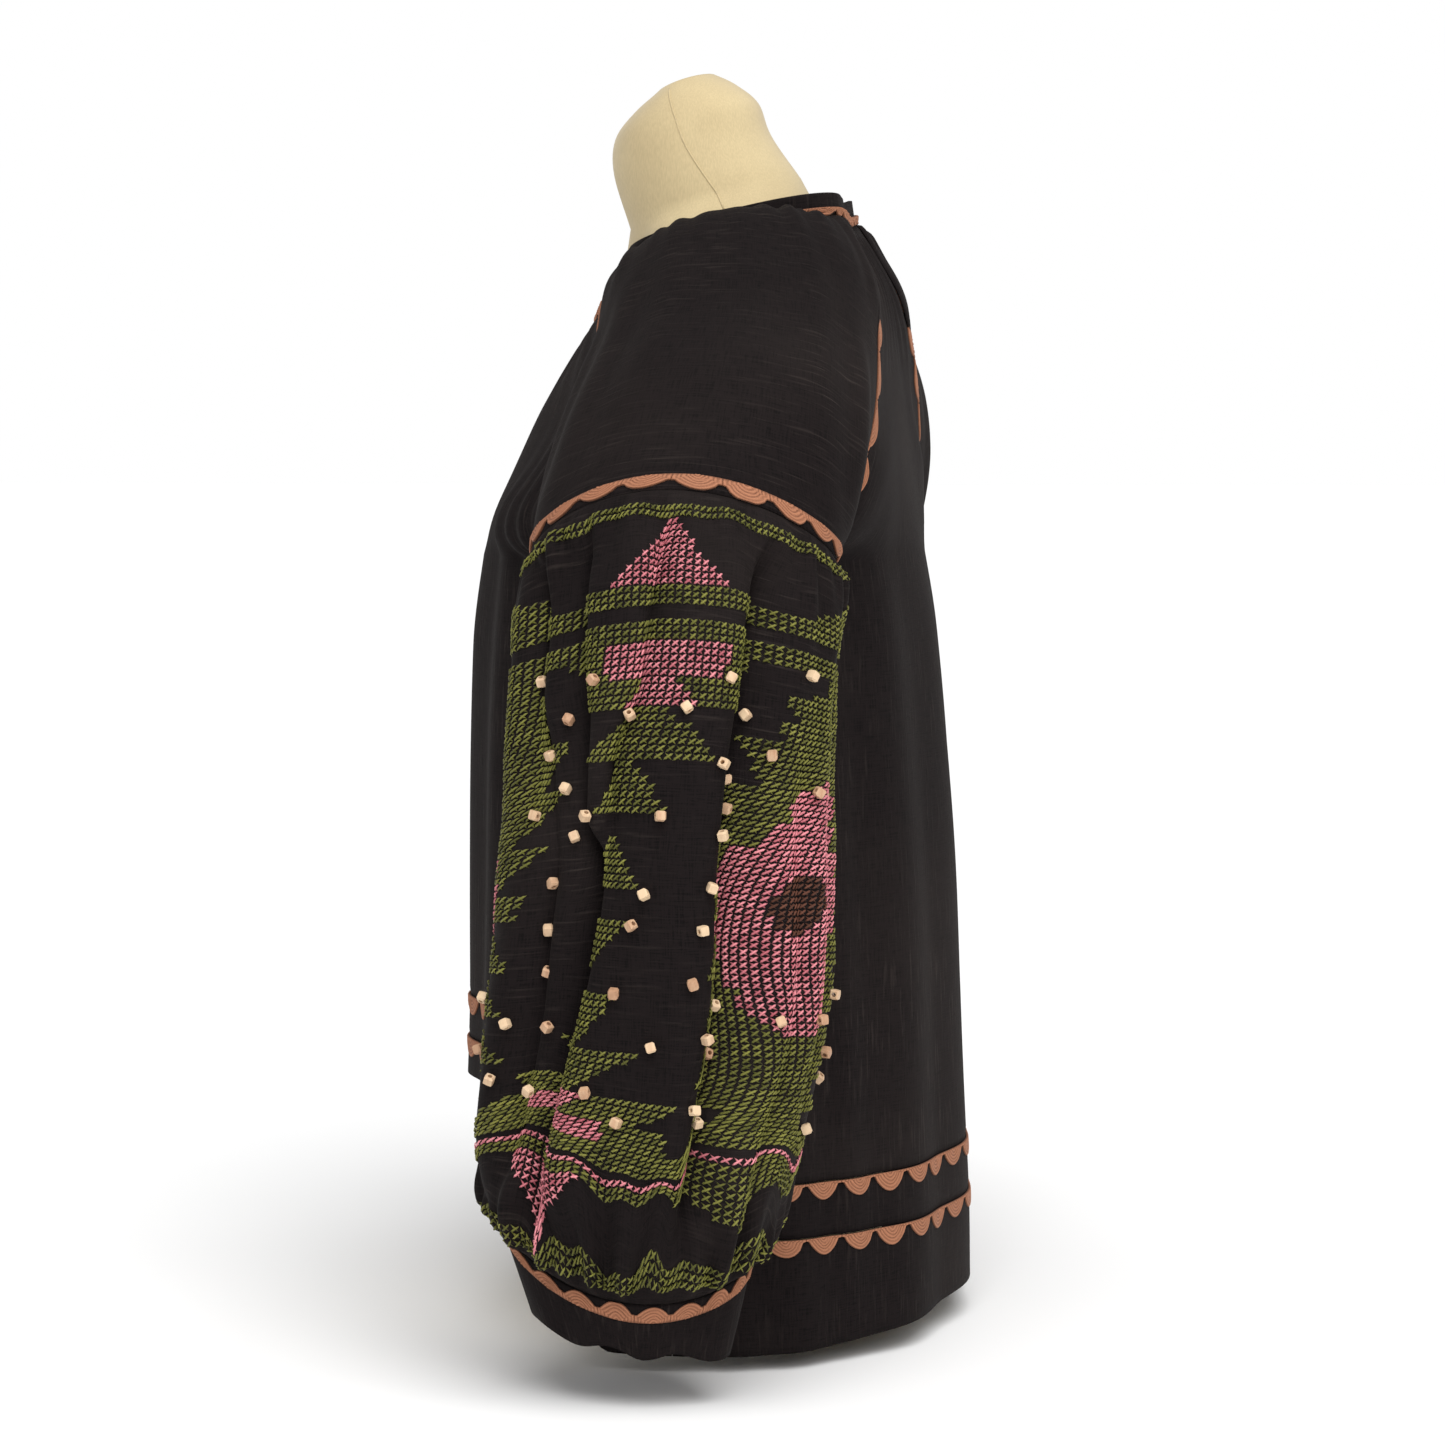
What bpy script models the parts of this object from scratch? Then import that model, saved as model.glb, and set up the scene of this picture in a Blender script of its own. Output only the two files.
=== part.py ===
"""A raglan top with balloon sleeves, scalloped tapes and a high-low hem, on a limbless dress form.

Metres, +Z up, origin on the floor under the middle of the form's flat base. The front faces -Y, the
wearer's left is +X. Every piece that is cut and sewn is a thin wall of its own. The walls are grids of
points, worked out ring by ring from the short tables below, and given their thickness inward.
"""
import math

import bpy
import numpy as np

# Cloth and seams
WALL = 0.0014          # thickness of every cloth wall
SEAM = 0.0005          # gap between two sewn pieces, half from each
TAPE = 0.0010          # thickness of the scalloped tape
TAPE_LIFT = 0.0005     # tape above the cloth it is sewn on
CAP_LIFT = 0.0023      # the same where the cloth curves two ways
UNDERARM_LIFT = 0.0020 # added towards the underarm, where it curves most
NECK_LIFT = 0.0014     # the same at the neckline
RAGLAN_START = 0.0015  # from the seam to the straight edge of its tape
NECK_START = 0.0035
CAP_END = 0.0008       # upper sleeve kept back from its curved lower seam
TAPE_SKIP = 4          # cells of sleeve tape left out where the arm meets the body
FORM_EASE = 0.0006     # cloth above the form on the shoulders, where it rests
CHEST_EASE = 0.0100    # cloth above the form's chest and back
NECK_EASE = 0.0110     # neckline above the form, where it stands loose

# How finely each piece is divided
YOKE_CELLS = 9         # neckline to underarm, one scallop of raglan tape each
PANEL_COLUMNS = 24     # across a front or back, one scallop of hem tape each
CAP_COLUMNS = 18       # round an upper sleeve, one scallop of sleeve tape each
BODY_CELLS = 5         # underarm to the first hem tape
SLEEVE_COLUMNS = 42    # round a lower sleeve, three to a gather
SLEEVE_CELLS = 9
CUFF_COLUMNS = 26      # two to a scallop of cuff tape
YOKE_CROWDING = 0.03   # draws the yoke's rows towards its two ends
ROW_CROWDING = 0.045   # the same for a lower sleeve, where it is gathered
FORM_STEP = 3          # every third column of the yoke carries on down the form

# Scallops: the tape's narrowest and its widest, and the steps that draw one scallop
TAPE_NARROW = 0.0030
TAPE_WIDE = 0.0092
NECK_WIDE = 0.0070
SLEEVE_WIDE = 0.0080
SCALLOP_STEPS = 3

BAND_HEIGHT = 0.0130   # stand band at the neck
BAND_LEAN = 0.0020     # how far its top leans inward
UNDERARM = 0.455
UNDERARM_FACING = np.array((0.29, 0.0, -0.957))    # outward where four pieces meet under an arm
GATHERS = 14           # in each lower sleeve, at the top and again at the cuff
GATHER_TOP = 0.0034
GATHER_CUFF = 0.0042
NECK_GATHERS = 6       # on each shoulder
NECK_GATHER = 0.0022
FULL = 0.60            # handle of the curves that draw a quarter of the body's sections


class Table:
    """A short table with named columns, read smoothly between its rows."""

    def __init__(self, names, rows):
        self.names = names.split()
        self.rows = np.array(rows, float)

    def read(self, name, at):
        xs = self.rows[:, 0]
        ys = self.rows[:, self.names.index(name)]
        steps = np.diff(ys) / np.diff(xs)
        slopes = np.concatenate(([steps[0]], (steps[1:] + steps[:-1]) / 2, [steps[-1]]))
        turning = np.concatenate(([False], steps[1:] * steps[:-1] <= 0, [False]))
        slopes[turning] = 0.0
        at = np.clip(np.asarray(at, float), xs[0], xs[-1])
        k = np.clip(np.searchsorted(xs, at, side="right") - 1, 0, len(xs) - 2)
        span = xs[k + 1] - xs[k]
        t = (at - xs[k]) / span
        return (ys[k] * (1 + 2 * t) * (1 - t) ** 2 + ys[k + 1] * t * t * (3 - 2 * t)
                + span * t * (1 - t) * (slopes[k] * (1 - t) - slopes[k + 1] * t))


# Upper sleeve: arcs of ellipses from the neckline (0) to the seam above the balloon sleeve (1).
# x, y, z is an arc's middle, out and rise lead to its outer point, half is its half width front to
# back, turn is how far round it runs each way in degrees, lean lifts its back and drops its front,
# and dip drops both.
CAP = Table("at x z out rise y half turn lean dip", (
    (0.00, 0.030, 0.638, 0.055, 0.004, 0.012, 0.065, 70, 0.016, 0.000),
    (0.10, 0.046, 0.620, 0.058, 0.034, 0.015, 0.0715, 75, 0.012, 0.000),
    (0.25, 0.072, 0.600, 0.063, 0.042, 0.020, 0.080, 80, 0.005, 0.000),
    (0.50, 0.122, 0.562, 0.063, 0.040, 0.024, 0.082, 92, 0.000, 0.000),
    (0.75, 0.180, 0.521, 0.060, 0.036, 0.020, 0.086, 116, 0.000, 0.003),
    (0.90, 0.213, 0.490, 0.055, 0.027, 0.014, 0.087, 138, 0.000, 0.010),
    (1.00, 0.230, 0.476, 0.052, 0.021, 0.0105, 0.084, 180, 0.000, 0.017),
))

# Middle of the front and of the back, neckline (0) to the level of the underarm (1)
FRONT_LINE = Table("at y z", (
    (0.00, -0.076, 0.590), (0.25, -0.090, 0.572), (0.50, -0.110, 0.541),
    (0.75, -0.127, 0.500), (1.00, -0.1390, UNDERARM)))
BACK_LINE = Table("at y z", (
    (0.00, 0.076, 0.651), (0.25, 0.098, 0.612), (0.50, 0.1060, 0.566),
    (0.75, 0.1125, 0.512), (1.00, 0.1205, UNDERARM)))

# Body below the underarm: half width, place of the side seam, front and back, by height
BODY = Table("z half seam front back", (
    (0.000, 0.205, 0.0000, -0.1480, 0.1490),
    (0.060, 0.202, 0.0000, -0.1480, 0.1480),
    (0.120, 0.198, 0.0010, -0.1470, 0.1450),
    (0.200, 0.193, 0.0025, -0.1445, 0.1415),
    (0.300, 0.187, 0.0050, -0.1450, 0.1360),
    (0.400, 0.181, 0.0080, -0.1425, 0.1275),
    (UNDERARM, 0.178, 0.0105, -0.1390, 0.1205)))

# Lines round the body: height at the sides, in front, where the hem is cut shorter, and at the back
LINES = {"tape_one": (0.104, 0.193, 0.104), "tape_two": (0.073, 0.168, 0.073),
         "hem": (0.0085, 0.146, 0.0190)}
RISE_FROM = 0.50       # where the front lines begin to fall to the sides, and where they arrive
RISE_TO = 0.86

# Soft folds of the front and back: place across, half width, depth, top and bottom height
FRONT_FOLDS = ((-0.72, 0.10, 0.0050, 0.52, 0.16), (-0.42, 0.11, 0.0060, 0.50, 0.02),
               (-0.12, 0.12, 0.0045, 0.48, 0.02), (0.20, 0.11, 0.0060, 0.50, 0.02),
               (0.50, 0.10, 0.0050, 0.53, 0.02), (0.74, 0.09, 0.0045, 0.55, 0.16))
BACK_FOLDS = ((-0.66, 0.12, 0.0050, 0.48, 0.00), (-0.30, 0.13, 0.0055, 0.51, 0.00),
              (0.05, 0.12, 0.0045, 0.48, 0.00), (0.38, 0.12, 0.0055, 0.51, 0.00),
              (0.70, 0.11, 0.0050, 0.46, 0.00))

# Lower sleeve, from its gathered top (0) to the cuff seam (1), with the same columns as the cap, and
# the cuff's edge
SLEEVE = Table("at x z out rise y half lean dip", (
    (0.00, 0.230, 0.476, 0.0520, 0.021, 0.0105, 0.0840, 0.0000, 0.017),
    (0.08, 0.2390, 0.446, 0.0555, 0.018, 0.0100, 0.0870, 0.0000, 0.016),
    (0.20, 0.2510, 0.395, 0.0595, 0.012, 0.0080, 0.0880, 0.0000, 0.012),
    (0.40, 0.2630, 0.310, 0.0610, 0.008, 0.0065, 0.0895, 0.0000, 0.006),
    (0.60, 0.2690, 0.225, 0.0615, 0.004, 0.0040, 0.0925, 0.0000, 0.000),
    (0.75, 0.2710, 0.165, 0.0605, 0.000, -0.0040, 0.0900, 0.0000, 0.000),
    (0.88, 0.2710, 0.118, 0.0560, -0.006, -0.0110, 0.0850, -0.0040, -0.003),
    (0.95, 0.2700, 0.0965, 0.0480, -0.014, -0.0135, 0.0785, -0.0090, -0.008),
    (1.00, 0.2680, 0.0805, 0.0360, -0.0205, -0.0160, 0.0705, -0.0125, -0.012)))
CUFF_EDGE = (0.268, 0.039, 0.0345, -0.007, -0.0130, 0.0565, -0.009, 0.0)

# Deep folds down a lower sleeve: where round it they start and end in degrees, half width in
# degrees, depth, and the stretch of the sleeve that they cover
SLEEVE_FOLDS = ((-33, -33, 12, 0.0095, 0.00, 0.50), (3, -35, 12, 0.0100, 0.42, 0.92),
                (29, 15, 12, 0.0100, 0.02, 0.92),
                (82, 74, 14, 0.0060, 0.20, 1.00), (-78, -84, 14, 0.0060, 0.10, 0.80),
                (128, 136, 16, 0.0065, 0.05, 0.95), (-132, -124, 16, 0.0065, 0.05, 0.95))

# Neck of the form: middle, half width, half depth and backward rise of each ring, top last
NECK = Table("at y z half depth rise", (
    (0.0, -0.0040, 0.664, 0.0590, 0.0510, 0.30),
    (1.0, -0.0180, 0.693, 0.0540, 0.0470, 0.26),
    (2.0, -0.0215, 0.713, 0.0500, 0.0430, 0.26),
    (3.0, -0.0220, 0.726, 0.0430, 0.0310, 0.28),
    (4.0, -0.0215, 0.7355, 0.0330, 0.0170, 0.34)))

# Body of the form below the shoulders: half width, front and back by height
TORSO = Table("z half front back", (
    (0.000, 0.142, -0.088, 0.090),
    (0.060, 0.148, -0.093, 0.098),
    (0.160, 0.138, -0.088, 0.092),
    (0.270, 0.116, -0.080, 0.076),
    (0.370, 0.130, -0.095, 0.080),
    (0.450, 0.146, -0.112, 0.090),
    (0.520, 0.146, -0.092, 0.094)))
TORSO_LEVELS = (0.520, 0.480, 0.430, 0.370, 0.320, 0.270, 0.210, 0.150, 0.080, 0.020, 0.000)

COLOURS = {
    "cloth": ((0.020, 0.016, 0.016), 0.85),
    "tape": ((0.42, 0.20, 0.12), 0.70),
    "form": ((0.76, 0.62, 0.38), 0.80),
}


def smoothstep(value):
    value = np.clip(value, 0.0, 1.0)
    return value * value * (3 - 2 * value)


def stack(x, y, z):
    return np.stack(np.broadcast_arrays(x, y, z), axis=-1)


def unit(vectors):
    return vectors / np.maximum(np.linalg.norm(vectors, axis=-1, keepdims=True), 1e-12)


def curve(p0, p1, p2, p3, t):
    return (1 - t) ** 3 * p0 + 3 * t * (1 - t) ** 2 * p1 + 3 * t * t * (1 - t) * p2 + t ** 3 * p3


def bump(distance):
    """A soft ridge, 1 at its middle and 0 from twice its half width on."""
    return np.where(np.abs(distance) < 2, np.cos(np.clip(distance, -2, 2) * math.pi / 4) ** 2, 0.0)


def cap_points(at, turn):
    """Upper sleeve on the wearer's left; turn runs from -1 at the front seam to 1 at the back one."""
    angle = turn * np.radians(CAP.read("turn", at))
    x = CAP.read("x", at) + CAP.read("out", at) * np.cos(angle)
    y = CAP.read("y", at) + CAP.read("half", at) * np.sin(angle)
    z = CAP.read("z", at) + CAP.read("rise", at) * np.cos(angle) + CAP.read("lean", at) * np.sin(angle)
    z = z - CAP.read("dip", at) * np.sin(angle) ** 2
    return stack(x, y, z)


def cap_tangent(at, face):
    """Direction in which the upper sleeve leaves its seam with the front (-1) or the back (1)."""
    angle = face * np.radians(CAP.read("turn", at))
    x = -CAP.read("out", at) * np.sin(angle)
    y = CAP.read("half", at) * np.cos(angle)
    z = -CAP.read("rise", at) * np.sin(angle) + CAP.read("lean", at) * np.cos(angle)
    z = z - CAP.read("dip", at) * np.sin(2 * angle)
    return unit(stack(x, y, z)) * -face


def yoke_points(face, at, across):
    """Front or back above the underarm: a curve from its middle line out to the raglan seam."""
    line = FRONT_LINE if face < 0 else BACK_LINE
    middle = stack(0.0 * at, line.read("y", at), line.read("z", at))
    seam = cap_points(at, face)
    low = smoothstep((at - 0.5) / 0.5)[..., None]
    away = np.array((0.0, -face, 0.0))
    leaving = cap_tangent(at, face)
    leaving[..., 1] = -face * np.maximum(-face * leaving[..., 1], 0.0)
    tangent = unit(unit(leaving) * (1 - low) + away * low)
    gap = np.linalg.norm(seam - middle, axis=-1, keepdims=True)
    depth = np.abs(seam[..., 1:2] - middle[..., 1:2])
    reach_in = seam[..., 0:1] * (0.36 * (1 - low) + FULL * low)
    reach_out = 0.30 * gap * (1 - low) + FULL * depth * low
    sideways = np.array((1.0, 0.0, 0.0))
    t = np.abs(across)[..., None]
    points = curve(middle, middle + sideways * reach_in, seam - tangent * reach_out, seam, t)
    points[..., 0] *= np.where(across < 0, -1.0, 1.0)
    return points


def line_height(name, face, across):
    """Height of a line round the body, which is higher in front."""
    side, front, back = LINES[name]
    if face > 0:
        return back + (side - back) * smoothstep(np.abs(across) / RISE_TO)
    fall = smoothstep((np.abs(across) - RISE_FROM) / (RISE_TO - RISE_FROM))
    return front + (side - front) * fall


def body_points(face, height, across):
    """Front or back below the underarm, by height."""
    half = BODY.read("half", height)
    seam = BODY.read("seam", height)
    middle = BODY.read("front" if face < 0 else "back", height)
    t = np.abs(across)
    x = curve(0.0, FULL * half, half, half, t) * np.where(across < 0, -1.0, 1.0)
    y = curve(middle, middle, seam + FULL * (middle - seam), seam, t)
    return stack(x, y, height)


def body_folds(face, height, across):
    """How far the soft folds push the cloth out."""
    total = 0.0 * across * height
    for place, width, depth, top, bottom in (FRONT_FOLDS if face < 0 else BACK_FOLDS):
        down = smoothstep((top - height) / 0.12) * smoothstep((height - bottom + 0.12) / 0.12)
        total = total + depth * bump((across - place) / width) * down
    return total * smoothstep((1 - np.abs(across)) / 0.12)


def grid_normals(points, closed=False):
    """Unit normals of a grid of points, rows first; closed joins its last column to its first."""
    down = np.gradient(points, axis=0)
    if closed:
        along = (np.roll(points, -1, axis=1) - np.roll(points, 1, axis=1)) / 2
    else:
        along = np.gradient(points, axis=1)
    return unit(np.cross(along, down))


def yoke_places():
    """Places of the yoke's rows, a little closer at the neckline and the underarm."""
    even = np.linspace(0, 1, YOKE_CELLS + 1)[:, None]
    return even - YOKE_CROWDING * np.sin(2 * math.pi * even)


def panel_grid(face):
    """All rows of the front or back: yoke, body, and the two bands, with their normals."""
    across = np.linspace(-1, 1, PANEL_COLUMNS + 1)[None, :]
    at = yoke_places() + 0.0 * across
    yoke = yoke_points(face, at, across + 0.0 * at)
    stops = [UNDERARM + 0.0 * across[0]] + [line_height(n, face, across[0]) for n in LINES]
    cells = (BODY_CELLS, 1, 2)
    rows = [stops[k] + (stops[k + 1] - stops[k]) * c / cells[k]
            for k in range(3) for c in range(1, cells[k] + 1)]
    height = np.array(rows)
    body = body_points(face, height, across + 0.0 * height)
    points = np.concatenate((yoke, body))
    normals = outward(grid_normals(points), points)
    push = body_folds(face, points[..., 2], across + 0.0 * points[..., 2])
    points = points + normals * push[..., None]
    return points, outward(grid_normals(points), points)


def outward(normals, points):
    """Turn a grid's normals so that they point away from the inside of the body."""
    middle = points.reshape(-1, 3).mean(axis=0) * np.array((0, 0, 1))
    facing = ((points - middle) * normals).sum()
    return normals if facing > 0 else -normals


def cap_grid():
    at = yoke_places()
    turn = np.linspace(-1, 1, CAP_COLUMNS + 1)[None, :]
    points = cap_points(at, turn)
    normals = outward(grid_normals(points), points)
    wave = 0.5 - 0.5 * np.cos(math.pi * (turn + 1) * NECK_GATHERS)
    reach = smoothstep((at - 0.05) / 0.08) * smoothstep((0.50 - at) / 0.35)
    points = points + normals * (NECK_GATHER * wave * reach)[..., None]
    return points, outward(grid_normals(points), points)


def loop(x, z, out, rise, y, half, lean, dip, angle):
    """A tilted ellipse; lean and dip as in the tables."""
    height = z + rise * np.cos(angle) + lean * np.sin(angle) - dip * np.sin(angle) ** 2
    return stack(x + out * np.cos(angle), y + half * np.sin(angle), height)


def loop_frame(x, z, out, rise, y, half, lean, dip, angle):
    """Points of a tilted ellipse and its normals within its own plane."""
    points = loop(x, z, out, rise, y, half, lean, dip, angle)
    length = math.hypot(out, rise)
    radial = stack(half * np.cos(angle) * out / length, length * np.sin(angle),
                   half * np.cos(angle) * rise / length)
    return points, unit(radial)


def sleeve_columns(at):
    return [SLEEVE.read(name, at) for name in SLEEVE.names[1:]]


def sleeve_push(at, angle):
    """Gathers under the seam and over the cuff, and the deep folds between the sleeve's lobes."""
    uneven = 0.72 + 0.28 * np.cos(3 * angle + 0.8)
    calm = smoothstep((2.5 - np.abs(angle)) / 0.6)
    top = smoothstep(at / 0.05) * smoothstep((0.30 - at) / 0.26)
    low = smoothstep((1 - at) / 0.05) * smoothstep((at - 0.66) / 0.26)
    waves = GATHER_TOP * top * uneven * np.cos(GATHERS * angle) * calm
    waves = waves + GATHER_CUFF * low * uneven * np.cos(GATHERS * angle + 1.3)
    for start, end, width, depth, first, last in SLEEVE_FOLDS:
        place = np.radians(start + (end - start) * at)
        turn = (angle - place + math.pi) % (2 * math.pi) - math.pi
        along = smoothstep((at - first) / 0.08) * smoothstep((last - at) / 0.10)
        waves = waves - depth * bump(turn / math.radians(width)) * along
    return waves


def sleeve_grid():
    at = (np.arange(SLEEVE_CELLS + 1) / SLEEVE_CELLS)[:, None]
    at = at - ROW_CROWDING * np.sin(2 * math.pi * at)
    angle = (np.arange(SLEEVE_COLUMNS) * 2 * math.pi / SLEEVE_COLUMNS - math.pi)[None, :]
    points = loop(*sleeve_columns(at), angle)
    normals = grid_normals(points, closed=True)
    if (normals[:, :, 0] * np.cos(angle)).sum() < 0:
        normals = -normals
    points = points + normals * sleeve_push(at, angle)[..., None]
    normals = grid_normals(points, closed=True)
    if (normals[:, :, 0] * np.cos(angle)).sum() < 0:
        normals = -normals
    for row, place in ((0, 0.0), (-1, 1.0)):
        normals[row] = loop_frame(*[float(v) for v in sleeve_columns(place)], angle[0])[1]
    return points, normals


def cuff_grid():
    angle = np.arange(CUFF_COLUMNS) * 2 * math.pi / CUFF_COLUMNS - math.pi
    top, top_normals = loop_frame(*[float(v) for v in sleeve_columns(1.0)], angle)
    low, low_normals = loop_frame(*CUFF_EDGE, angle)
    return np.stack((top, (top + low) / 2, low)), np.stack((top_normals, low_normals, low_normals))


def edge_directions(line, normals, inner):
    """Unit directions off a boundary, within the surface, towards the piece's inside."""
    side = unit(np.cross(normals, np.gradient(line, axis=0)))
    return side if ((inner - line) * side).sum() > 0 else -side


def draw_in(points, normals, top=SEAM / 2, bottom=SEAM / 2, sides=SEAM / 2):
    """Pull a piece's edges back from its seams."""
    moved = points.copy()
    for row, inner, amount in ((0, 1, top), (-1, -2, bottom)):
        moved[row] += amount * edge_directions(points[row], normals[row], points[inner])
    if sides:
        for column, inner in ((0, 1), (-1, -2)):
            moved[:, column] += sides * edge_directions(
                points[:, column], normals[:, column], points[:, inner])
    return moved


def add_object(name, verts, faces, colour):
    mesh = bpy.data.meshes.new(name)
    mesh.from_pydata([tuple(map(float, v)) for v in verts], [], faces)
    mesh.update()
    volume = sum(np.dot(verts[f[0]], np.cross(verts[f[k]], verts[f[k + 1]]))
                 for f in faces for k in range(1, len(f) - 1))
    if volume < 0:
        mesh.flip_normals()
    mesh.shade_smooth()
    mesh.set_sharp_from_angle(angle=math.radians(40))
    rgb, roughness = COLOURS[colour]
    material = bpy.data.materials.new(name + "_look")
    material.use_nodes = True
    shader = material.node_tree.nodes["Principled BSDF"]
    shader.inputs["Base Color"].default_value = (*rgb, 1.0)
    shader.inputs["Roughness"].default_value = roughness
    shader.inputs["Metallic"].default_value = 0.0
    mesh.materials.append(material)
    thing = bpy.data.objects.new(name, mesh)
    bpy.context.scene.collection.objects.link(thing)
    return thing


def add_wall(name, outer, inner, colour, closed=False):
    """A closed body between two like grids of points."""
    rows, columns = outer.shape[:2]
    verts = np.concatenate((outer.reshape(-1, 3), inner.reshape(-1, 3)))
    half = rows * columns

    def corner(i, j, layer):
        return layer * half + i * columns + j % columns

    faces = []
    last = columns if closed else columns - 1
    for i in range(rows - 1):
        for j in range(last):
            faces.append((corner(i, j, 0), corner(i + 1, j, 0), corner(i + 1, j + 1, 0),
                          corner(i, j + 1, 0)))
            faces.append((corner(i, j, 1), corner(i, j + 1, 1), corner(i + 1, j + 1, 1),
                          corner(i + 1, j, 1)))
    for j in range(last):
        for i, flip in ((0, False), (rows - 1, True)):
            rim = [corner(i, j, 0), corner(i, j + 1, 0), corner(i, j + 1, 1), corner(i, j, 1)]
            faces.append(tuple(reversed(rim)) if flip else tuple(rim))
    if not closed:
        for i in range(rows - 1):
            for j, flip in ((0, True), (columns - 1, False)):
                rim = [corner(i, j, 0), corner(i + 1, j, 0), corner(i + 1, j, 1), corner(i, j, 1)]
                faces.append(tuple(reversed(rim)) if flip else tuple(rim))
    return add_object(name, verts, faces, colour)


def add_cloth(name, points, normals, closed=False, **edges):
    outer = draw_in(points, normals, sides=0 if closed else SEAM / 2, **edges)
    return add_wall(name, outer, outer - WALL * normals, "cloth", closed)


def mirrored(points):
    """The same grid on the wearer's right, its columns turned round."""
    return points[:, ::-1] * np.array((-1.0, 1.0, 1.0))


def walk(points, normals, distance):
    """Points and normals at a distance along each line of a grid, from its first row."""
    steps = np.linalg.norm(np.diff(points, axis=0), axis=-1)
    length = np.concatenate((np.zeros((1, steps.shape[1])), np.cumsum(steps, axis=0)))
    spots = np.empty((points.shape[1], 3))
    facing = np.empty((points.shape[1], 3))
    for j in range(points.shape[1]):
        for axis in range(3):
            spots[j, axis] = np.interp(distance[j], length[:, j], points[:, j, axis])
            facing[j, axis] = np.interp(distance[j], length[:, j], normals[:, j, axis])
    return spots, unit(facing)


def finer(grid, steps, closed):
    """Put extra lines between a grid's lines, straight across its cells."""
    columns = grid.shape[1]
    count = columns * steps if closed else (columns - 1) * steps + 1
    place = np.arange(count) / steps
    left = np.floor(place).astype(int) % columns
    right = (left + 1) % columns if closed else np.minimum(left + 1, columns - 1)
    share = (place - np.floor(place))[None, :, None]
    return grid[:, left] * (1 - share) + grid[:, right] * share


def add_tape(name, points, normals, steps, scallop, closed=False, start=SEAM / 2, wide=TAPE_WIDE,
             lift=TAPE_LIFT, turned=False):
    """Tape along the first row of a grid, its scallops reaching over the following rows.

    steps is how many parts each cell is cut in, scallop how many parts make one scallop. A turned
    tape has its straight edge away from the first row, and its scallops reach back to it.
    """
    points = finer(points, steps, closed)
    normals = unit(finer(normals, steps, closed))
    lift = np.broadcast_to(lift, points.shape[1])[:, None]
    if not closed:
        points[:, 0] += SEAM * unit(points[:, 1] - points[:, 0])
        points[:, -1] += SEAM * unit(points[:, -2] - points[:, -1])
    phase = (np.arange(points.shape[1]) % scallop) / scallop
    depth = TAPE_NARROW + (wide - TAPE_NARROW) * np.sin(math.pi * phase)
    near, far = (wide - depth, wide) if turned else (0.0, depth)
    upper = walk(points, normals, start + near + 0.0 * depth)
    lower = walk(points, normals, start + far + 0.0 * depth)
    under = np.stack((upper[0] + lift * upper[1], lower[0] + lift * lower[1]))
    over = np.stack((upper[0] + (lift + TAPE) * upper[1], lower[0] + (lift + TAPE) * lower[1]))
    return add_wall(name, over, under, "tape", closed)


def shared(first, second):
    """Normals that two pieces share along their seam; below an arm they turn down."""
    down = np.array((0.0, 0.0, -0.05))
    return unit(first + second + down)


def ring_of(front, back, cap, rows):
    """Whole rings of the yoke, from the wearer's left front seam round by the front and back."""
    right = mirrored(cap)
    return np.concatenate((cap[rows, :-1], back[rows, ::-1][:, :-1], right[rows, :-1],
                           front[rows, :-1]), axis=1)


def add_form(front, back, cap, normals):
    """The form: neck, shoulders that follow the inside of the yoke, and a smooth body."""
    rows = slice(0, YOKE_CELLS // 2 + 1)
    yoke = ring_of(front, back, cap, rows)[:, ::FORM_STEP]
    facing = ring_of(normals[0], normals[1], normals[2], rows)[:, ::FORM_STEP]
    half_round = PANEL_COLUMNS + CAP_COLUMNS
    place = np.arange(2 * half_round)[::FORM_STEP] % half_round
    on_cap = (place > FORM_STEP - 1) & (place < CAP_COLUMNS - FORM_STEP + 1)
    ease = WALL + np.where(on_cap, FORM_EASE, CHEST_EASE)[None, :, None]
    ease = np.repeat(ease, yoke.shape[0], axis=0)
    ease[0] = WALL + NECK_EASE
    shoulders = yoke - ease * facing
    count = yoke.shape[1]
    angle = np.arctan2(shoulders[0][:, 0], -shoulders[0][:, 1])
    rings = []
    for k in range(len(NECK.rows) - 1, -1, -1):
        y, z, half, depth, rise = [float(NECK.read(n, k)) for n in ("y", "z", "half", "depth", "rise")]
        rings.append(stack(half * np.sin(angle), y - depth * np.cos(angle),
                           z - rise * depth * np.cos(angle)))
    rings.extend(shoulders)
    low = shoulders[-1]
    middle = low.mean(axis=0)
    reach = np.abs(low - middle).max(axis=0)
    angle = np.arctan2(low[:, 0] / reach[0], -(low[:, 1] - middle[1]) / reach[1])
    for z in TORSO_LEVELS:
        half, front_y, back_y = [float(TORSO.read(n, z)) for n in ("half", "front", "back")]
        middle = (front_y + back_y) / 2
        depth = (back_y - front_y) / 2
        rings.append(stack(half * np.sin(angle), middle - depth * np.cos(angle), z))
    verts = np.concatenate(rings)
    faces = [tuple(range(count)), tuple(reversed(range(len(verts) - count, len(verts))))]
    for k in range(len(rings) - 1):
        for j in range(count):
            nxt = (j + 1) % count
            faces.append((k * count + j, (k + 1) * count + j, (k + 1) * count + nxt, k * count + nxt))
    return add_object("dress_form", verts, faces, "form")


def clear_scene():
    for thing in list(bpy.data.objects):
        bpy.data.objects.remove(thing, do_unlink=True)


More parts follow.
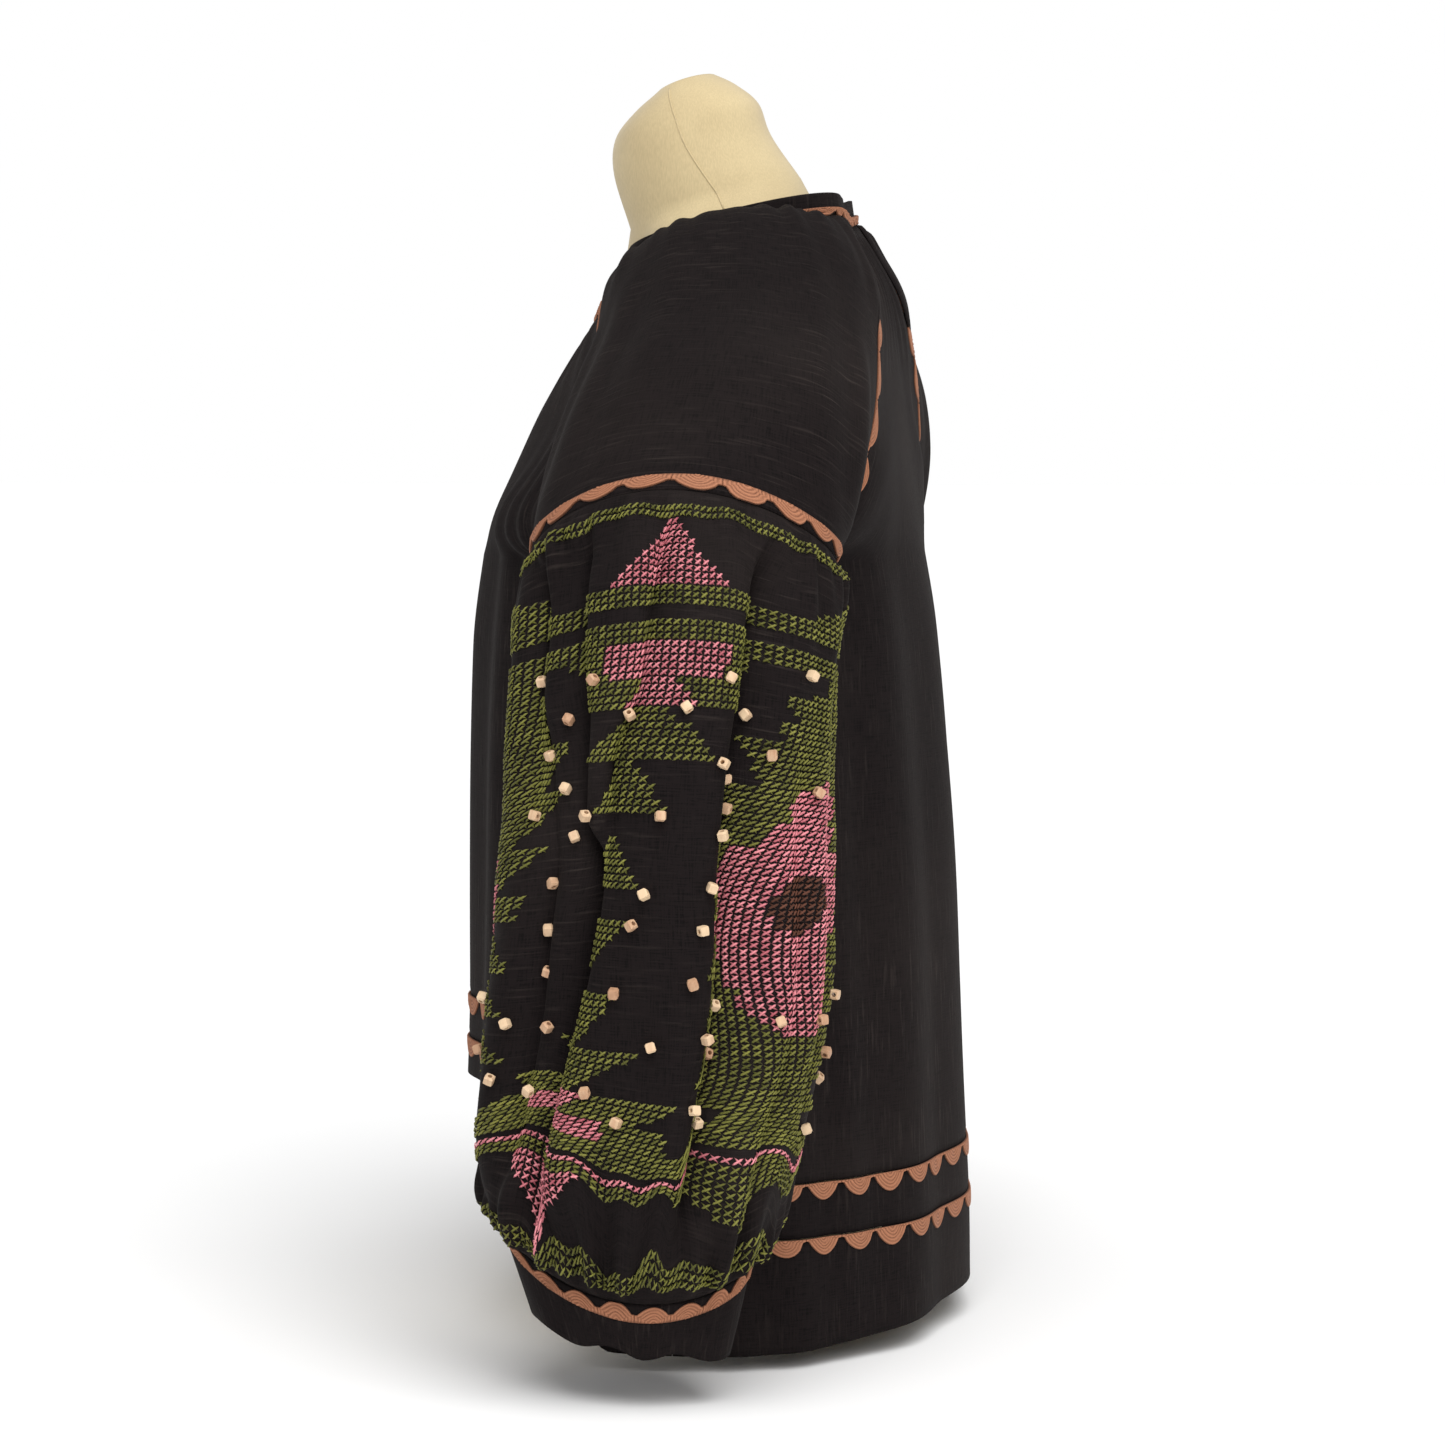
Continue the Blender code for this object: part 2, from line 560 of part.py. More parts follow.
def main():
    clear_scene()
    front, front_n = panel_grid(-1)
    back, back_n = panel_grid(1)
    cap, cap_n = cap_grid()
    yoke = YOKE_CELLS + 1

    own = {"front": front_n.copy(), "back": back_n.copy(), "cap": cap_n.copy()}

    # Pieces that meet share their normals along the seam, so that their walls stay side by side.
    seam_front = shared(front_n[:yoke, -1], cap_n[:, 0])
    seam_back = shared(back_n[:yoke, -1], cap_n[:, -1])
    flip = np.array((-1.0, 1.0, 1.0))
    for seam in (seam_front, seam_back):
        seam[-1] = UNDERARM_FACING
    front_n[:yoke, -1], front_n[:yoke, 0] = seam_front, seam_front * flip
    back_n[:yoke, -1], back_n[:yoke, 0] = seam_back, seam_back * flip
    cap_n[:, 0], cap_n[:, -1] = seam_front, seam_back
    side = unit(front_n[yoke:, -1] + back_n[yoke:, -1])
    front_n[yoke:, -1], front_n[yoke:, 0] = side, side * flip
    back_n[yoke:, -1], back_n[yoke:, 0] = side, side * flip
    angle = np.linspace(-math.pi, math.pi, CAP_COLUMNS + 1)
    cap_n[-1] = loop_frame(*[float(v) for v in sleeve_columns(0.0)], angle)[1]

    add_form(front, back, cap, (front_n, back_n, cap_n))

    band_rows = {"panel": slice(0, yoke + BODY_CELLS),
                 "middle_band": slice(yoke + BODY_CELLS - 1, yoke + BODY_CELLS + 1),
                 "hem_band": slice(yoke + BODY_CELLS, yoke + BODY_CELLS + 3)}
    for face, points, normals in (("front", front, front_n), ("back", back, back_n)):
        for piece, rows in band_rows.items():
            low = 0.0 if piece == "hem_band" else SEAM / 2
            add_cloth(f"{face}_{piece}", points[rows], normals[rows], bottom=low)
        for tape, piece in (("hem_tape_upper", "middle_band"), ("hem_tape_lower", "hem_band")):
            rows = band_rows[piece]
            add_tape(f"{face}_{tape}", points[rows], normals[rows], SCALLOP_STEPS, SCALLOP_STEPS)

    sleeve, sleeve_n = sleeve_grid()
    cuff, cuff_n = cuff_grid()
    for hand in ("left", "right"):
        turn = (lambda grid: grid) if hand == "left" else mirrored
        add_cloth(f"{hand}_upper_sleeve", turn(cap), turn(cap_n), bottom=CAP_END)
        add_cloth(f"{hand}_lower_sleeve", turn(sleeve), turn(sleeve_n), closed=True)
        add_cloth(f"{hand}_cuff", turn(cuff), turn(cuff_n), closed=True, bottom=0.0)
        clear_of_arm = slice(TAPE_SKIP, CAP_COLUMNS + 1 - TAPE_SKIP)
        add_tape(f"{hand}_sleeve_tape", turn(cap)[::-1, clear_of_arm],
                 turn(own["cap"])[::-1, clear_of_arm], SCALLOP_STEPS, SCALLOP_STEPS,
                 wide=SLEEVE_WIDE, lift=CAP_LIFT, turned=True)
        add_tape(f"{hand}_cuff_tape", turn(cuff)[:2], turn(cuff_n)[:2], 2, 4, closed=True,
                 turned=True)
        for face, points in (("front", front), ("back", back)):
            normals = own[face]
            away = slice(None, None, -1) if hand == "left" else slice(None)
            cells = YOKE_CELLS - (3 if face == "front" else 2)
            rows = slice(1, cells + 2)
            count = cells * SCALLOP_STEPS + 1
            lift = TAPE_LIFT + UNDERARM_LIFT * np.linspace(0, 1, count)
            add_tape(f"{hand}_{face}_raglan_tape",
                     np.swapaxes(points[rows][:, away], 0, 1),
                     np.swapaxes(normals[rows][:, away], 0, 1), SCALLOP_STEPS, SCALLOP_STEPS,
                     start=RAGLAN_START, lift=lift)

    neck = ring_of(front, back, cap, slice(0, 3))
    neck_n = ring_of(own["front"], own["back"], own["cap"], slice(0, 3))
    add_tape("neck_tape", neck, neck_n, 1, 3, closed=True, start=NECK_START, wide=NECK_WIDE,
             lift=NECK_LIFT)
    foot = neck[0]
    inward = -foot * np.array((1.0, 1.0, 0.0))
    top = foot + np.array((0.0, 0.0, BAND_HEIGHT)) + BAND_LEAN * unit(inward)
    facing = unit(-inward)
    band = np.stack((foot + np.array((0.0, 0.0, SEAM)), top))
    add_wall("neck_band", band, band - WALL * facing, "cloth", closed=True)


main()
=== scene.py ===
"""Looks of the embroidered raglan top on its dress form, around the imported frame. Metres, +Z up."""
import math

import bpy
import numpy as np
from mathutils import Euler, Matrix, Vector


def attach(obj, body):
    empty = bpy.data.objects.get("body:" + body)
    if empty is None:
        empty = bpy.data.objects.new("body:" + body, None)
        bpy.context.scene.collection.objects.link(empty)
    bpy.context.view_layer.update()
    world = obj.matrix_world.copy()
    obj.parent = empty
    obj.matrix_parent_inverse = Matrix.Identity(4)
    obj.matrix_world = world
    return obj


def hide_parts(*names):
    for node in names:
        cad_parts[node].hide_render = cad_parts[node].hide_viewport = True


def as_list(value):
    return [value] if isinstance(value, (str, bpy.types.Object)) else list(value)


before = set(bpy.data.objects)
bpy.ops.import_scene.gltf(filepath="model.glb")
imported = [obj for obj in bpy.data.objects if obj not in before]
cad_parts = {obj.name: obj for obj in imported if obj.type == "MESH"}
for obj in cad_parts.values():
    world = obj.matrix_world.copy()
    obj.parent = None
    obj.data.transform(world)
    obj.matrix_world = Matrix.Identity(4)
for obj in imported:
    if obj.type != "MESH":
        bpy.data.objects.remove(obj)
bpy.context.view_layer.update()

# Camera, at the photograph's angle
CAMERA_AZIMUTH = 98.0
CAMERA_HEIGHT = 4.0        # degrees above the level of its aim
CAMERA_DISTANCE = 2.5
CAMERA_AIM = (0.0, 0.0, 0.352)
LENS = 102.77
WORLD_LIGHT = 0.42         # light from all round, under a white backdrop
TOP_LIGHT = 2.50
TOP_FROM = (0.50, 0.20, 1.0)
KEY_LIGHT = 10.0
KEY_PLACE = (2.0, 1.1, 1.2)
KEY_AIM = (0.1, 0.0, 0.35)

# Cloth
SHELL = 0.0008             # thickness of the visible cloth
SEAM = 0.0005              # gap between two cloths at their seam
UNDERARM = 0.455
FULL = 0.60                # roundness of a section through the body
TAPE_THICK = 0.0009
TAPE_NARROW = 0.0012       # width of a tape between its scallops, and at their middle
TAPE_WIDE = 0.0095
TAPE_RINGS = 14            # rows of points in a half disc of tape, and raised arcs of thread
TAPE_ARCS = 5.5
NECK_TAPE_UP = 0.0050      # top of the neck tape above the seam, on the stand band
HEM_LOBES = 20             # half discs of a hem tape, front or back
SLEEVE_LOBES = 18
CUFF_LOBES = 21
NECK_LOBES = 28
BAND_HEIGHT = 0.0130
BAND_LEAN = 0.0020
BAND_THICK = 0.0014
PLEAT_WIDE = 0.0125
PLEAT_LIFT = 0.0030

# Grids of points
YOKE_ROWS = 48
BODY_ROWS = 60
MIDDLE_ROWS = 6
HEM_ROWS = 14
PANEL_COLUMNS = 120
CAP_ROWS = 80
CAP_COLUMNS = 90
CAP_GATHERS = 15
SLEEVE_ROWS = 116
SLEEVE_COLUMNS = 252
CUFF_ROWS = 16
CUFF_COLUMNS = 168

# Cross stitch and beads
CELL_TALL = 0.0038         # height of a stitch, in metres on the cloth
STITCH_ROWS = 114
COLUMNS = 150              # stitches round a sleeve
FIRST_ROW = 0.4            # cm from the seam to the first row
HALF_REPEAT = 11.9         # cm from the middle of one motif to the middle of the next
FIRST_AXIS = 0.6           # cm from the outermost line of the sleeve to the first motif's axis
MIDDLE = 21.8              # cm below the seam, where the chart turns back on itself
SLEEVE_CM = 43.6           # from seam to cuff on the outside
ROUND_OUT = 0.061          # the ellipse that spaces the stitches round a sleeve
ROUND_HALF = 0.090
BEAD = 0.0054              # side of a cube bead


class Table:
    """A short table with named columns, read smoothly between its rows."""

    def __init__(self, names, rows):
        self.names = names.split()
        self.rows = np.array(rows, float)

    def read(self, name, at):
        xs = self.rows[:, 0]
        ys = self.rows[:, self.names.index(name)]
        steps = np.diff(ys) / np.diff(xs)
        slopes = np.concatenate(([steps[0]], (steps[1:] + steps[:-1]) / 2, [steps[-1]]))
        turning = np.concatenate(([False], steps[1:] * steps[:-1] <= 0, [False]))
        slopes[turning] = 0.0
        at = np.clip(np.asarray(at, float), xs[0], xs[-1])
        k = np.clip(np.searchsorted(xs, at, side="right") - 1, 0, len(xs) - 2)
        span = xs[k + 1] - xs[k]
        t = (at - xs[k]) / span
        return (ys[k] * (1 + 2 * t) * (1 - t) ** 2 + ys[k + 1] * t * t * (3 - 2 * t)
                + span * t * (1 - t) * (slopes[k] * (1 - t) - slopes[k + 1] * t))

    def every(self, at):
        """All columns but the first, in their order."""
        return [self.read(name, at) for name in self.names[1:]]


# The forms of the solids, as the part's source has them. An arch or loop has a middle at x, y and z, a
# reach out with its rise, a half width along y, and lean and dip that lift and drop its front and back.
CAP = Table("at x z out rise y half lean dip turn", (
    (0.00, 0.030, 0.638, 0.055, 0.004, 0.012, 0.065, 0.016, 0.000, 70),
    (0.10, 0.046, 0.620, 0.058, 0.034, 0.015, 0.0715, 0.012, 0.000, 75),
    (0.25, 0.072, 0.600, 0.063, 0.042, 0.020, 0.080, 0.005, 0.000, 80),
    (0.50, 0.122, 0.562, 0.063, 0.040, 0.024, 0.082, 0.000, 0.000, 92),
    (0.75, 0.180, 0.521, 0.060, 0.036, 0.020, 0.086, 0.000, 0.003, 116),
    (0.90, 0.213, 0.490, 0.055, 0.027, 0.014, 0.087, 0.000, 0.010, 138),
    (1.00, 0.230, 0.476, 0.052, 0.021, 0.0105, 0.084, 0.000, 0.017, 180)))
FRONT_LINE = Table("at y z", (
    (0.00, -0.076, 0.590), (0.25, -0.090, 0.572), (0.50, -0.110, 0.541),
    (0.75, -0.127, 0.500), (1.00, -0.1390, UNDERARM)))
BACK_LINE = Table("at y z", (
    (0.00, 0.076, 0.651), (0.25, 0.098, 0.612), (0.50, 0.1060, 0.566),
    (0.75, 0.1125, 0.512), (1.00, 0.1205, UNDERARM)))
BODY = Table("z half seam front back", (
    (0.000, 0.205, 0.0000, -0.1480, 0.1490),
    (0.060, 0.202, 0.0000, -0.1480, 0.1480),
    (0.120, 0.198, 0.0010, -0.1470, 0.1450),
    (0.200, 0.193, 0.0025, -0.1445, 0.1415),
    (0.300, 0.187, 0.0050, -0.1450, 0.1360),
    (0.400, 0.181, 0.0080, -0.1425, 0.1275),
    (UNDERARM, 0.178, 0.0105, -0.1390, 0.1205)))
# Heights of the sewn lines at the side, in front and behind, and the places across between which the
# front ones rise from the side to the middle
LINES = {"tape_one": (0.104, 0.193, 0.104), "tape_two": (0.073, 0.168, 0.073),
         "hem": (0.0085, 0.146, 0.0190)}
RISE_FROM = 0.50
RISE_TO = 0.86
SLEEVE = Table("at x z out rise y half lean dip", (
    (0.00, 0.230, 0.476, 0.0520, 0.021, 0.0105, 0.0840, 0.0000, 0.017),
    (0.08, 0.2390, 0.446, 0.0555, 0.018, 0.0100, 0.0870, 0.0000, 0.016),
    (0.20, 0.2510, 0.395, 0.0595, 0.012, 0.0080, 0.0880, 0.0000, 0.012),
    (0.40, 0.2630, 0.310, 0.0610, 0.008, 0.0065, 0.0895, 0.0000, 0.006),
    (0.60, 0.2690, 0.225, 0.0615, 0.004, 0.0040, 0.0925, 0.0000, 0.000),
    (0.75, 0.2710, 0.165, 0.0605, 0.000, -0.0040, 0.0900, 0.0000, 0.000),
    (0.88, 0.2710, 0.118, 0.0560, -0.006, -0.0110, 0.0850, -0.0040, -0.003),
    (0.95, 0.2700, 0.0965, 0.0480, -0.014, -0.0135, 0.0785, -0.0090, -0.008),
    (1.00, 0.2680, 0.0805, 0.0360, -0.0205, -0.0160, 0.0705, -0.0125, -0.012)))
CUFF_EDGE = (0.268, 0.039, 0.0345, -0.007, -0.0130, 0.0565, -0.009, 0.0)
NECK = Table("at y z half depth rise", (
    (0.0, -0.0040, 0.664, 0.0590, 0.0510, 0.30),
    (1.0, -0.0180, 0.693, 0.0540, 0.0470, 0.26),
    (2.0, -0.0215, 0.713, 0.0500, 0.0430, 0.26),
    (3.0, -0.0220, 0.726, 0.0430, 0.0310, 0.28),
    (4.0, -0.0215, 0.7355, 0.0330, 0.0170, 0.34)))
TORSO = Table("z half front back", (
    (0.000, 0.142, -0.088, 0.090),
    (0.060, 0.148, -0.093, 0.098),
    (0.160, 0.138, -0.088, 0.092),
    (0.270, 0.116, -0.080, 0.076),
    (0.370, 0.130, -0.095, 0.080),
    (0.450, 0.146, -0.112, 0.090),
    (0.520, 0.146, -0.092, 0.094)))
TORSO_TOP = 0.520
FOOT_ROUND = 0.012         # height of the rounded lower edge
RING_CAP = 36              # columns of the yoke's ring on each sleeve, and on the front or back
RING_FACE = 48
FORM_GAP = 0.0014          # from the cloth's outside in to the form, and the ease that adds to it
FACE_EASE = 0.0100
CAP_EASE = 0.0008
NECK_EASE = 0.0110

# Deep folds of a lower sleeve, in degrees round it and parts of its length down it. A fold leans under
# the lobe at its higher angles, or with a minus under the other one.
SLEEVE_FOLDS = Table("number start end width depth first last lean", (
    (0, -33, -33, 8.5, 0.0150, 0.01, 0.52, 1.10),
    (1, 1, -40, 9.5, 0.0160, 0.38, 0.98, 1.10),
    (2, 42, 28, 8.5, 0.0160, 0.02, 0.97, -1.15),
    (3, -60, -64, 6.0, 0.0080, 0.00, 0.45, 0.90),
    (4, 2, -8, 4.5, 0.0075, 0.00, 0.48, -0.90),
    (5, 66, 52, 6.0, 0.0045, 0.25, 1.00, -0.60),
    (6, 92, 84, 10.0, 0.0070, 0.05, 0.85, -0.50),
    (7, -86, -92, 10.0, 0.0070, 0.10, 0.95, 0.50),
    (8, 128, 136, 12.0, 0.0065, 0.05, 0.95, 0.40),
    (9, -132, -124, 12.0, 0.0065, 0.05, 0.95, -0.40),
    (10, -20, -42, 17.0, 0.0090, 0.22, 0.95, 0.00),
    (11, -47, -56, 9.0, 0.0100, 0.02, 0.90, 0.00)))
ROLL = 0.55                # how far a fold draws together the cloth on both sides of it
TOP_GATHERS = 30           # small gathers at the sleeve's seam, and at the cuff
CUFF_GATHERS = 27
# How far the chart has turned round the sleeve, in metres of cloth, by part of its length
SLEEVE_TWIST = Table("at turn", (
    (0.00, 0.0), (0.28, -0.004), (0.50, -0.030), (0.72, -0.036), (0.86, -0.052), (1.00, -0.056)))

# How far the cloth of each lobe has slipped down, in cm: at the left and right end of the three lobes
# that the photograph shows, by part of the sleeve's length
SAG_ANGLES = np.radians((-180, -90, -38, -30, 28, 38, 85, 180))
SAG = Table("at back left a b c d right", (
    (0.00, 0.00, 0.00, 0.00, 0.00, 0.00, 0.00, 0.00),
    (0.06, 0.00, 0.10, 0.20, 0.00, -0.10, 0.05, -0.10),
    (0.20, 0.00, 0.60, 0.60, 0.00, -0.40, 0.20, -0.10),
    (0.40, 0.00, 0.50, 0.30, 0.00, 0.00, 0.00, -0.40),
    (0.60, 0.00, 0.20, -0.20, 0.00, 0.20, -0.50, -0.50),
    (0.75, 0.00, -0.60, -1.60, -0.90, 0.20, -1.20, -0.50),
    (0.86, 0.00, -1.40, -3.20, -2.40, -0.40, -2.60, -1.20),
    (0.95, 0.00, -1.20, -1.80, -1.60, -0.90, -1.80, -1.20),
    (1.00, 0.00, 0.00, 0.00, 0.00, 0.00, 0.00, 0.00)))
FOLD_PLACE = math.radians(25)     # the fold between the middle lobe and the back one
FOLD_TURNS = math.radians(11)     # and how much nearer the middle it lies low down

# Soft folds of the front and back: place across, half width, depth, top and bottom height
FRONT_FOLDS = ((-0.78, 0.050, 0.0034, 0.54, 0.16), (-0.66, 0.055, 0.0040, 0.50, 0.10),
               (-0.42, 0.080, 0.0055, 0.50, 0.02), (-0.12, 0.090, 0.0045, 0.48, 0.02),
               (0.20, 0.080, 0.0055, 0.50, 0.02), (0.42, 0.050, 0.0040, 0.55, 0.06),
               (0.55, 0.040, 0.0040, 0.57, 0.10), (0.67, 0.036, 0.0042, 0.58, 0.20),
               (0.78, 0.034, 0.0038, 0.57, 0.30))
BACK_FOLDS = ((-0.66, 0.090, 0.0045, 0.48, 0.00), (-0.30, 0.100, 0.0050, 0.51, 0.00),
              (0.05, 0.090, 0.0045, 0.48, 0.00), (0.38, 0.085, 0.0050, 0.51, 0.00),
              (0.58, 0.045, 0.0032, 0.40, 0.10), (0.72, 0.060, 0.0045, 0.46, 0.00),
              (0.84, 0.040, 0.0030, 0.36, 0.00))
# Folds that fall from the shoulder towards the front of the arm: place, slant, half width, depth, start
CAP_FOLDS = ((-0.95, 0.30, 0.055, 0.0040, 0.35), (-0.62, 0.22, 0.070, 0.0028, 0.25),
             (-0.30, 0.15, 0.090, 0.0022, 0.15), (0.46, -0.05, 0.080, 0.0024, 0.20),
             (0.78, -0.12, 0.060, 0.0034, 0.40))

CLOTH_DARK = (0.0026, 0.0017, 0.0018)
CLOTH_MIDDLE = (0.0084, 0.0056, 0.0058)
CLOTH_LIGHT = (0.0560, 0.0440, 0.0390)


def smoothstep(value):
    value = np.clip(value, 0.0, 1.0)
    return value * value * (3 - 2 * value)


def stack(x, y, z):
    return np.stack(np.broadcast_arrays(x, y, z), axis=-1)


def unit(vectors):
    return vectors / np.maximum(np.linalg.norm(vectors, axis=-1, keepdims=True), 1e-12)


def curve(p0, p1, p2, p3, t):
    return (1 - t) ** 3 * p0 + 3 * t * (1 - t) ** 2 * p1 + 3 * t * t * (1 - t) * p2 + t ** 3 * p3


def round_angles(count):
    """Evenly spaced angles of a tube's columns."""
    return (np.arange(count) * 2 * math.pi / count - math.pi)[None, :]


def wrapped(angle):
    """The same direction between minus and plus half a turn."""
    return (angle + math.pi) % (2 * math.pi) - math.pi


def bump(distance):
    return np.where(np.abs(distance) < 2, np.cos(np.clip(distance, -2, 2) * math.pi / 4) ** 2, 0.0)


def loop(x, z, out, rise, y, half, lean, dip, angle):
    """A tilted ellipse; lean lifts its back and drops its front, dip drops both."""
    height = z + rise * np.cos(angle) + lean * np.sin(angle) - dip * np.sin(angle) ** 2
    return stack(x + out * np.cos(angle), y + half * np.sin(angle), height)


def cap_points(at, turn):
    """An upper sleeve's form; turn runs from -1 at its front edge to 1 at its back one."""
    *columns, most = CAP.every(at)
    return loop(*columns, turn * np.radians(most))


def cap_tangent(at, face):
    """Direction in which the upper sleeve's form comes to the seam of the front or back."""
    _, _, out, rise, _, half, lean, dip, most = CAP.every(at)
    angle = face * np.radians(most)
    height = -rise * np.sin(angle) + lean * np.cos(angle) - dip * np.sin(2 * angle)
    return unit(stack(-out * np.sin(angle), half * np.cos(angle), height)) * -face


def yoke_points(face, at, across):
    """Front or back above the underarm: a curve from its middle line out to the raglan seam."""
    at, across = np.broadcast_arrays(at, across)
    line = FRONT_LINE if face < 0 else BACK_LINE
    middle = stack(0.0 * at, *line.every(at))
    seam = cap_points(at, face)
    low = smoothstep((at - 0.5) / 0.5)[..., None]
    away = np.array((0.0, -face, 0.0))
    leaving = cap_tangent(at, face)
    leaving[..., 1] = -face * np.maximum(-face * leaving[..., 1], 0.0)
    tangent = unit(unit(leaving) * (1 - low) + away * low)
    gap = np.linalg.norm(seam - middle, axis=-1, keepdims=True)
    depth = np.abs(seam[..., 1:2] - middle[..., 1:2])
    reach_in = seam[..., 0:1] * (0.36 * (1 - low) + FULL * low)
    reach_out = 0.30 * gap * (1 - low) + FULL * depth * low
    sideways = np.array((1.0, 0.0, 0.0))
    t = np.abs(across)[..., None]
    points = curve(middle, middle + sideways * reach_in, seam - tangent * reach_out, seam, t)
    points[..., 0] *= np.where(across < 0, -1.0, 1.0)
    return points


def line_height(name, face, across):
    side, front, back = LINES[name]
    if face > 0:
        return back + (side - back) * smoothstep(np.abs(across) / RISE_TO)
    fall = smoothstep((np.abs(across) - RISE_FROM) / (RISE_TO - RISE_FROM))
    return front + (side - front) * fall


def body_points(face, height, across):
    half, seam, front, back = BODY.every(height)
    middle = front if face < 0 else back
    t = np.abs(across)
    x = curve(0.0, FULL * half, half, half, t) * np.where(across < 0, -1.0, 1.0)
    y = curve(middle, middle, seam + FULL * (middle - seam), seam, t)
    return stack(x, y, height)


def ripple(a, b, seed):
    """Slow uneven waves, the same each run, for crumpled cloth."""
    draw = np.random.default_rng(seed)
    total = 0.0
    for _ in range(7):
        fa, fb = draw.uniform(0.4, 1.6, 2)
        total = total + np.sin(fa * a + fb * b + draw.uniform(0, 6.28)) / 7
    return total


def body_folds(face, height, across):
    total = 0.0 * across * height
    for place, width, depth, top, bottom in (FRONT_FOLDS if face < 0 else BACK_FOLDS):
        bend = place + 0.02 * np.sin(9 * height + 8 * place)
        down = smoothstep((top - height) / 0.10) * smoothstep((height - bottom + 0.12) / 0.12)
        total = total + depth * bump((across - bend) / width) * down
    total = total + 0.0012 * ripple(across * 9, height * 22, 5 + face)
    return total * smoothstep((1 - np.abs(across)) / 0.10)


def grid_normals(points, closed=False):
    down = np.gradient(points, axis=0)
    if closed:
        along = (np.roll(points, -1, axis=1) - np.roll(points, 1, axis=1)) / 2
    else:
        along = np.gradient(points, axis=1)
    return unit(np.cross(along, down))


def outward(normals, points):
    middle = points.reshape(-1, 3).mean(axis=0) * np.array((0, 0, 1))
    return normals if ((points - middle) * normals).sum() > 0 else -normals


def panel_grid(face):
    """All rows of the front or back, yoke to hem, with their normals."""
    across = np.linspace(-1, 1, PANEL_COLUMNS + 1)[None, :]
    at = np.linspace(0, 1, YOKE_ROWS + 1)[:, None]
    yoke = yoke_points(face, at, across)
    stops = [UNDERARM + 0.0 * across[0]] + [line_height(n, face, across[0]) for n in LINES]
    cells = (BODY_ROWS, MIDDLE_ROWS, HEM_ROWS)
    rows = [stops[k] + (stops[k + 1] - stops[k]) * c / cells[k]
            for k in range(3) for c in range(1, cells[k] + 1)]
    height = np.array(rows)
    points = np.concatenate((yoke, body_points(face, height, across + 0.0 * height)))
    normals = outward(grid_normals(points), points)
    across = across + 0.0 * points[..., 2]
    push = body_folds(face, points[..., 2], across)
    top = np.concatenate((at[:, 0], np.ones(len(points) - YOKE_ROWS - 1)))[:, None]
    neck = smoothstep((top - 0.03) / 0.05) * smoothstep((0.55 - top) / 0.4)
    push = push * smoothstep((top - 0.05) / 0.2)
    push = push + 0.0012 * neck * np.cos(across * 30 + 2 * np.sin(3 * across)) * (1 - across ** 2)
    points = points + normals * push[..., None]
    return points, outward(grid_normals(points), points)


def cap_grid(seed):
    """An upper sleeve, gathered into the neck, with its drape folds."""
    at = np.linspace(0, 1, CAP_ROWS + 1)[:, None]
    turn = np.linspace(-1, 1, CAP_COLUMNS + 1)[None, :]
    points = cap_points(at, turn)
    normals = outward(grid_normals(points), points)
    draw = np.random.default_rng(seed)
    push = 0.0 * at * turn
    for k in range(CAP_GATHERS):
        place = -0.92 + 1.84 * (k + draw.uniform(-0.3, 0.3)) / (CAP_GATHERS - 1)
        depth = draw.uniform(0.0012, 0.0034)
        reach = draw.uniform(0.16, 0.52)
        width = draw.uniform(0.030, 0.050)
        lean = draw.uniform(-0.10, 0.10)
        down = smoothstep((at - 0.035) / 0.05) * smoothstep((reach - at) / (0.8 * reach))
        push = push + depth * bump((turn - place - lean * at) / (width * (1 + 2.2 * at))) * down
    for place, lean, width, depth, first in CAP_FOLDS:
        down = smoothstep((at - first) / 0.25) * smoothstep((1 - at) / 0.22)
        push = push + depth * bump((turn - place - lean * at) / width) * down
    push = push + 0.0010 * ripple(turn * 5, at * 9, seed + 2) * smoothstep((1 - at) / 0.1)
    push = push * smoothstep((1 - np.abs(turn)) / 0.06)
    push = push + PLEAT_LIFT * smoothstep((turn - 0.86) / 0.12) * pleat(at)
    points = points + normals * push[..., None]
    return points, outward(grid_normals(points), points)


def pleat(at):
    """Share of its full width that the pleat over the back raglan tape has at a place down the seam."""
    return smoothstep(at / 0.03) * smoothstep((0.41 - at) / 0.15)


def with_pleat(points, normals):
    """The upper sleeve's grid with the pleat that hangs over the top of the back raglan tape."""
    at = np.linspace(0, 1, len(points))[:, None]
    share = np.linspace(0, 1, 9)[None, 1:]
    width = (0.0003 + PLEAT_WIDE * pleat(at)) / np.maximum(points[:, -1:, 0], 0.05)
    base = yoke_points(1, at, 1 - width * share)
    facing = outward(grid_normals(yoke_points(1, at, 0.97 - 0.1 * share)), base)
    lift = PLEAT_LIFT * pleat(at) * (1 - 0.65 * share ** 4) * (1 + 0.10 * np.sin(40 * at))
    return (np.concatenate((points, base + facing * lift[..., None]), axis=1),
            np.concatenate((normals, facing), axis=1))


def loop_normals(out, half, angle):
    """Level directions out of an ellipse."""
    length = np.hypot(half * np.cos(angle), out * np.sin(angle))
    return stack(half * np.cos(angle) / length, out * np.sin(angle) / length, 0.0 * length)


def sleeve_base(at, angle):
    """The lower sleeve's form without creases, and the directions in which these move it."""
    columns = SLEEVE.every(at)
    points = loop(*columns, angle)
    normals = loop_normals(columns[2], columns[5], angle)
    slope = 0.35 * smoothstep((at - 0.86) / 0.12) - 0.10 * smoothstep((0.3 - at) / 0.3)
    normals[..., 2] = -slope
    return points, unit(normals)


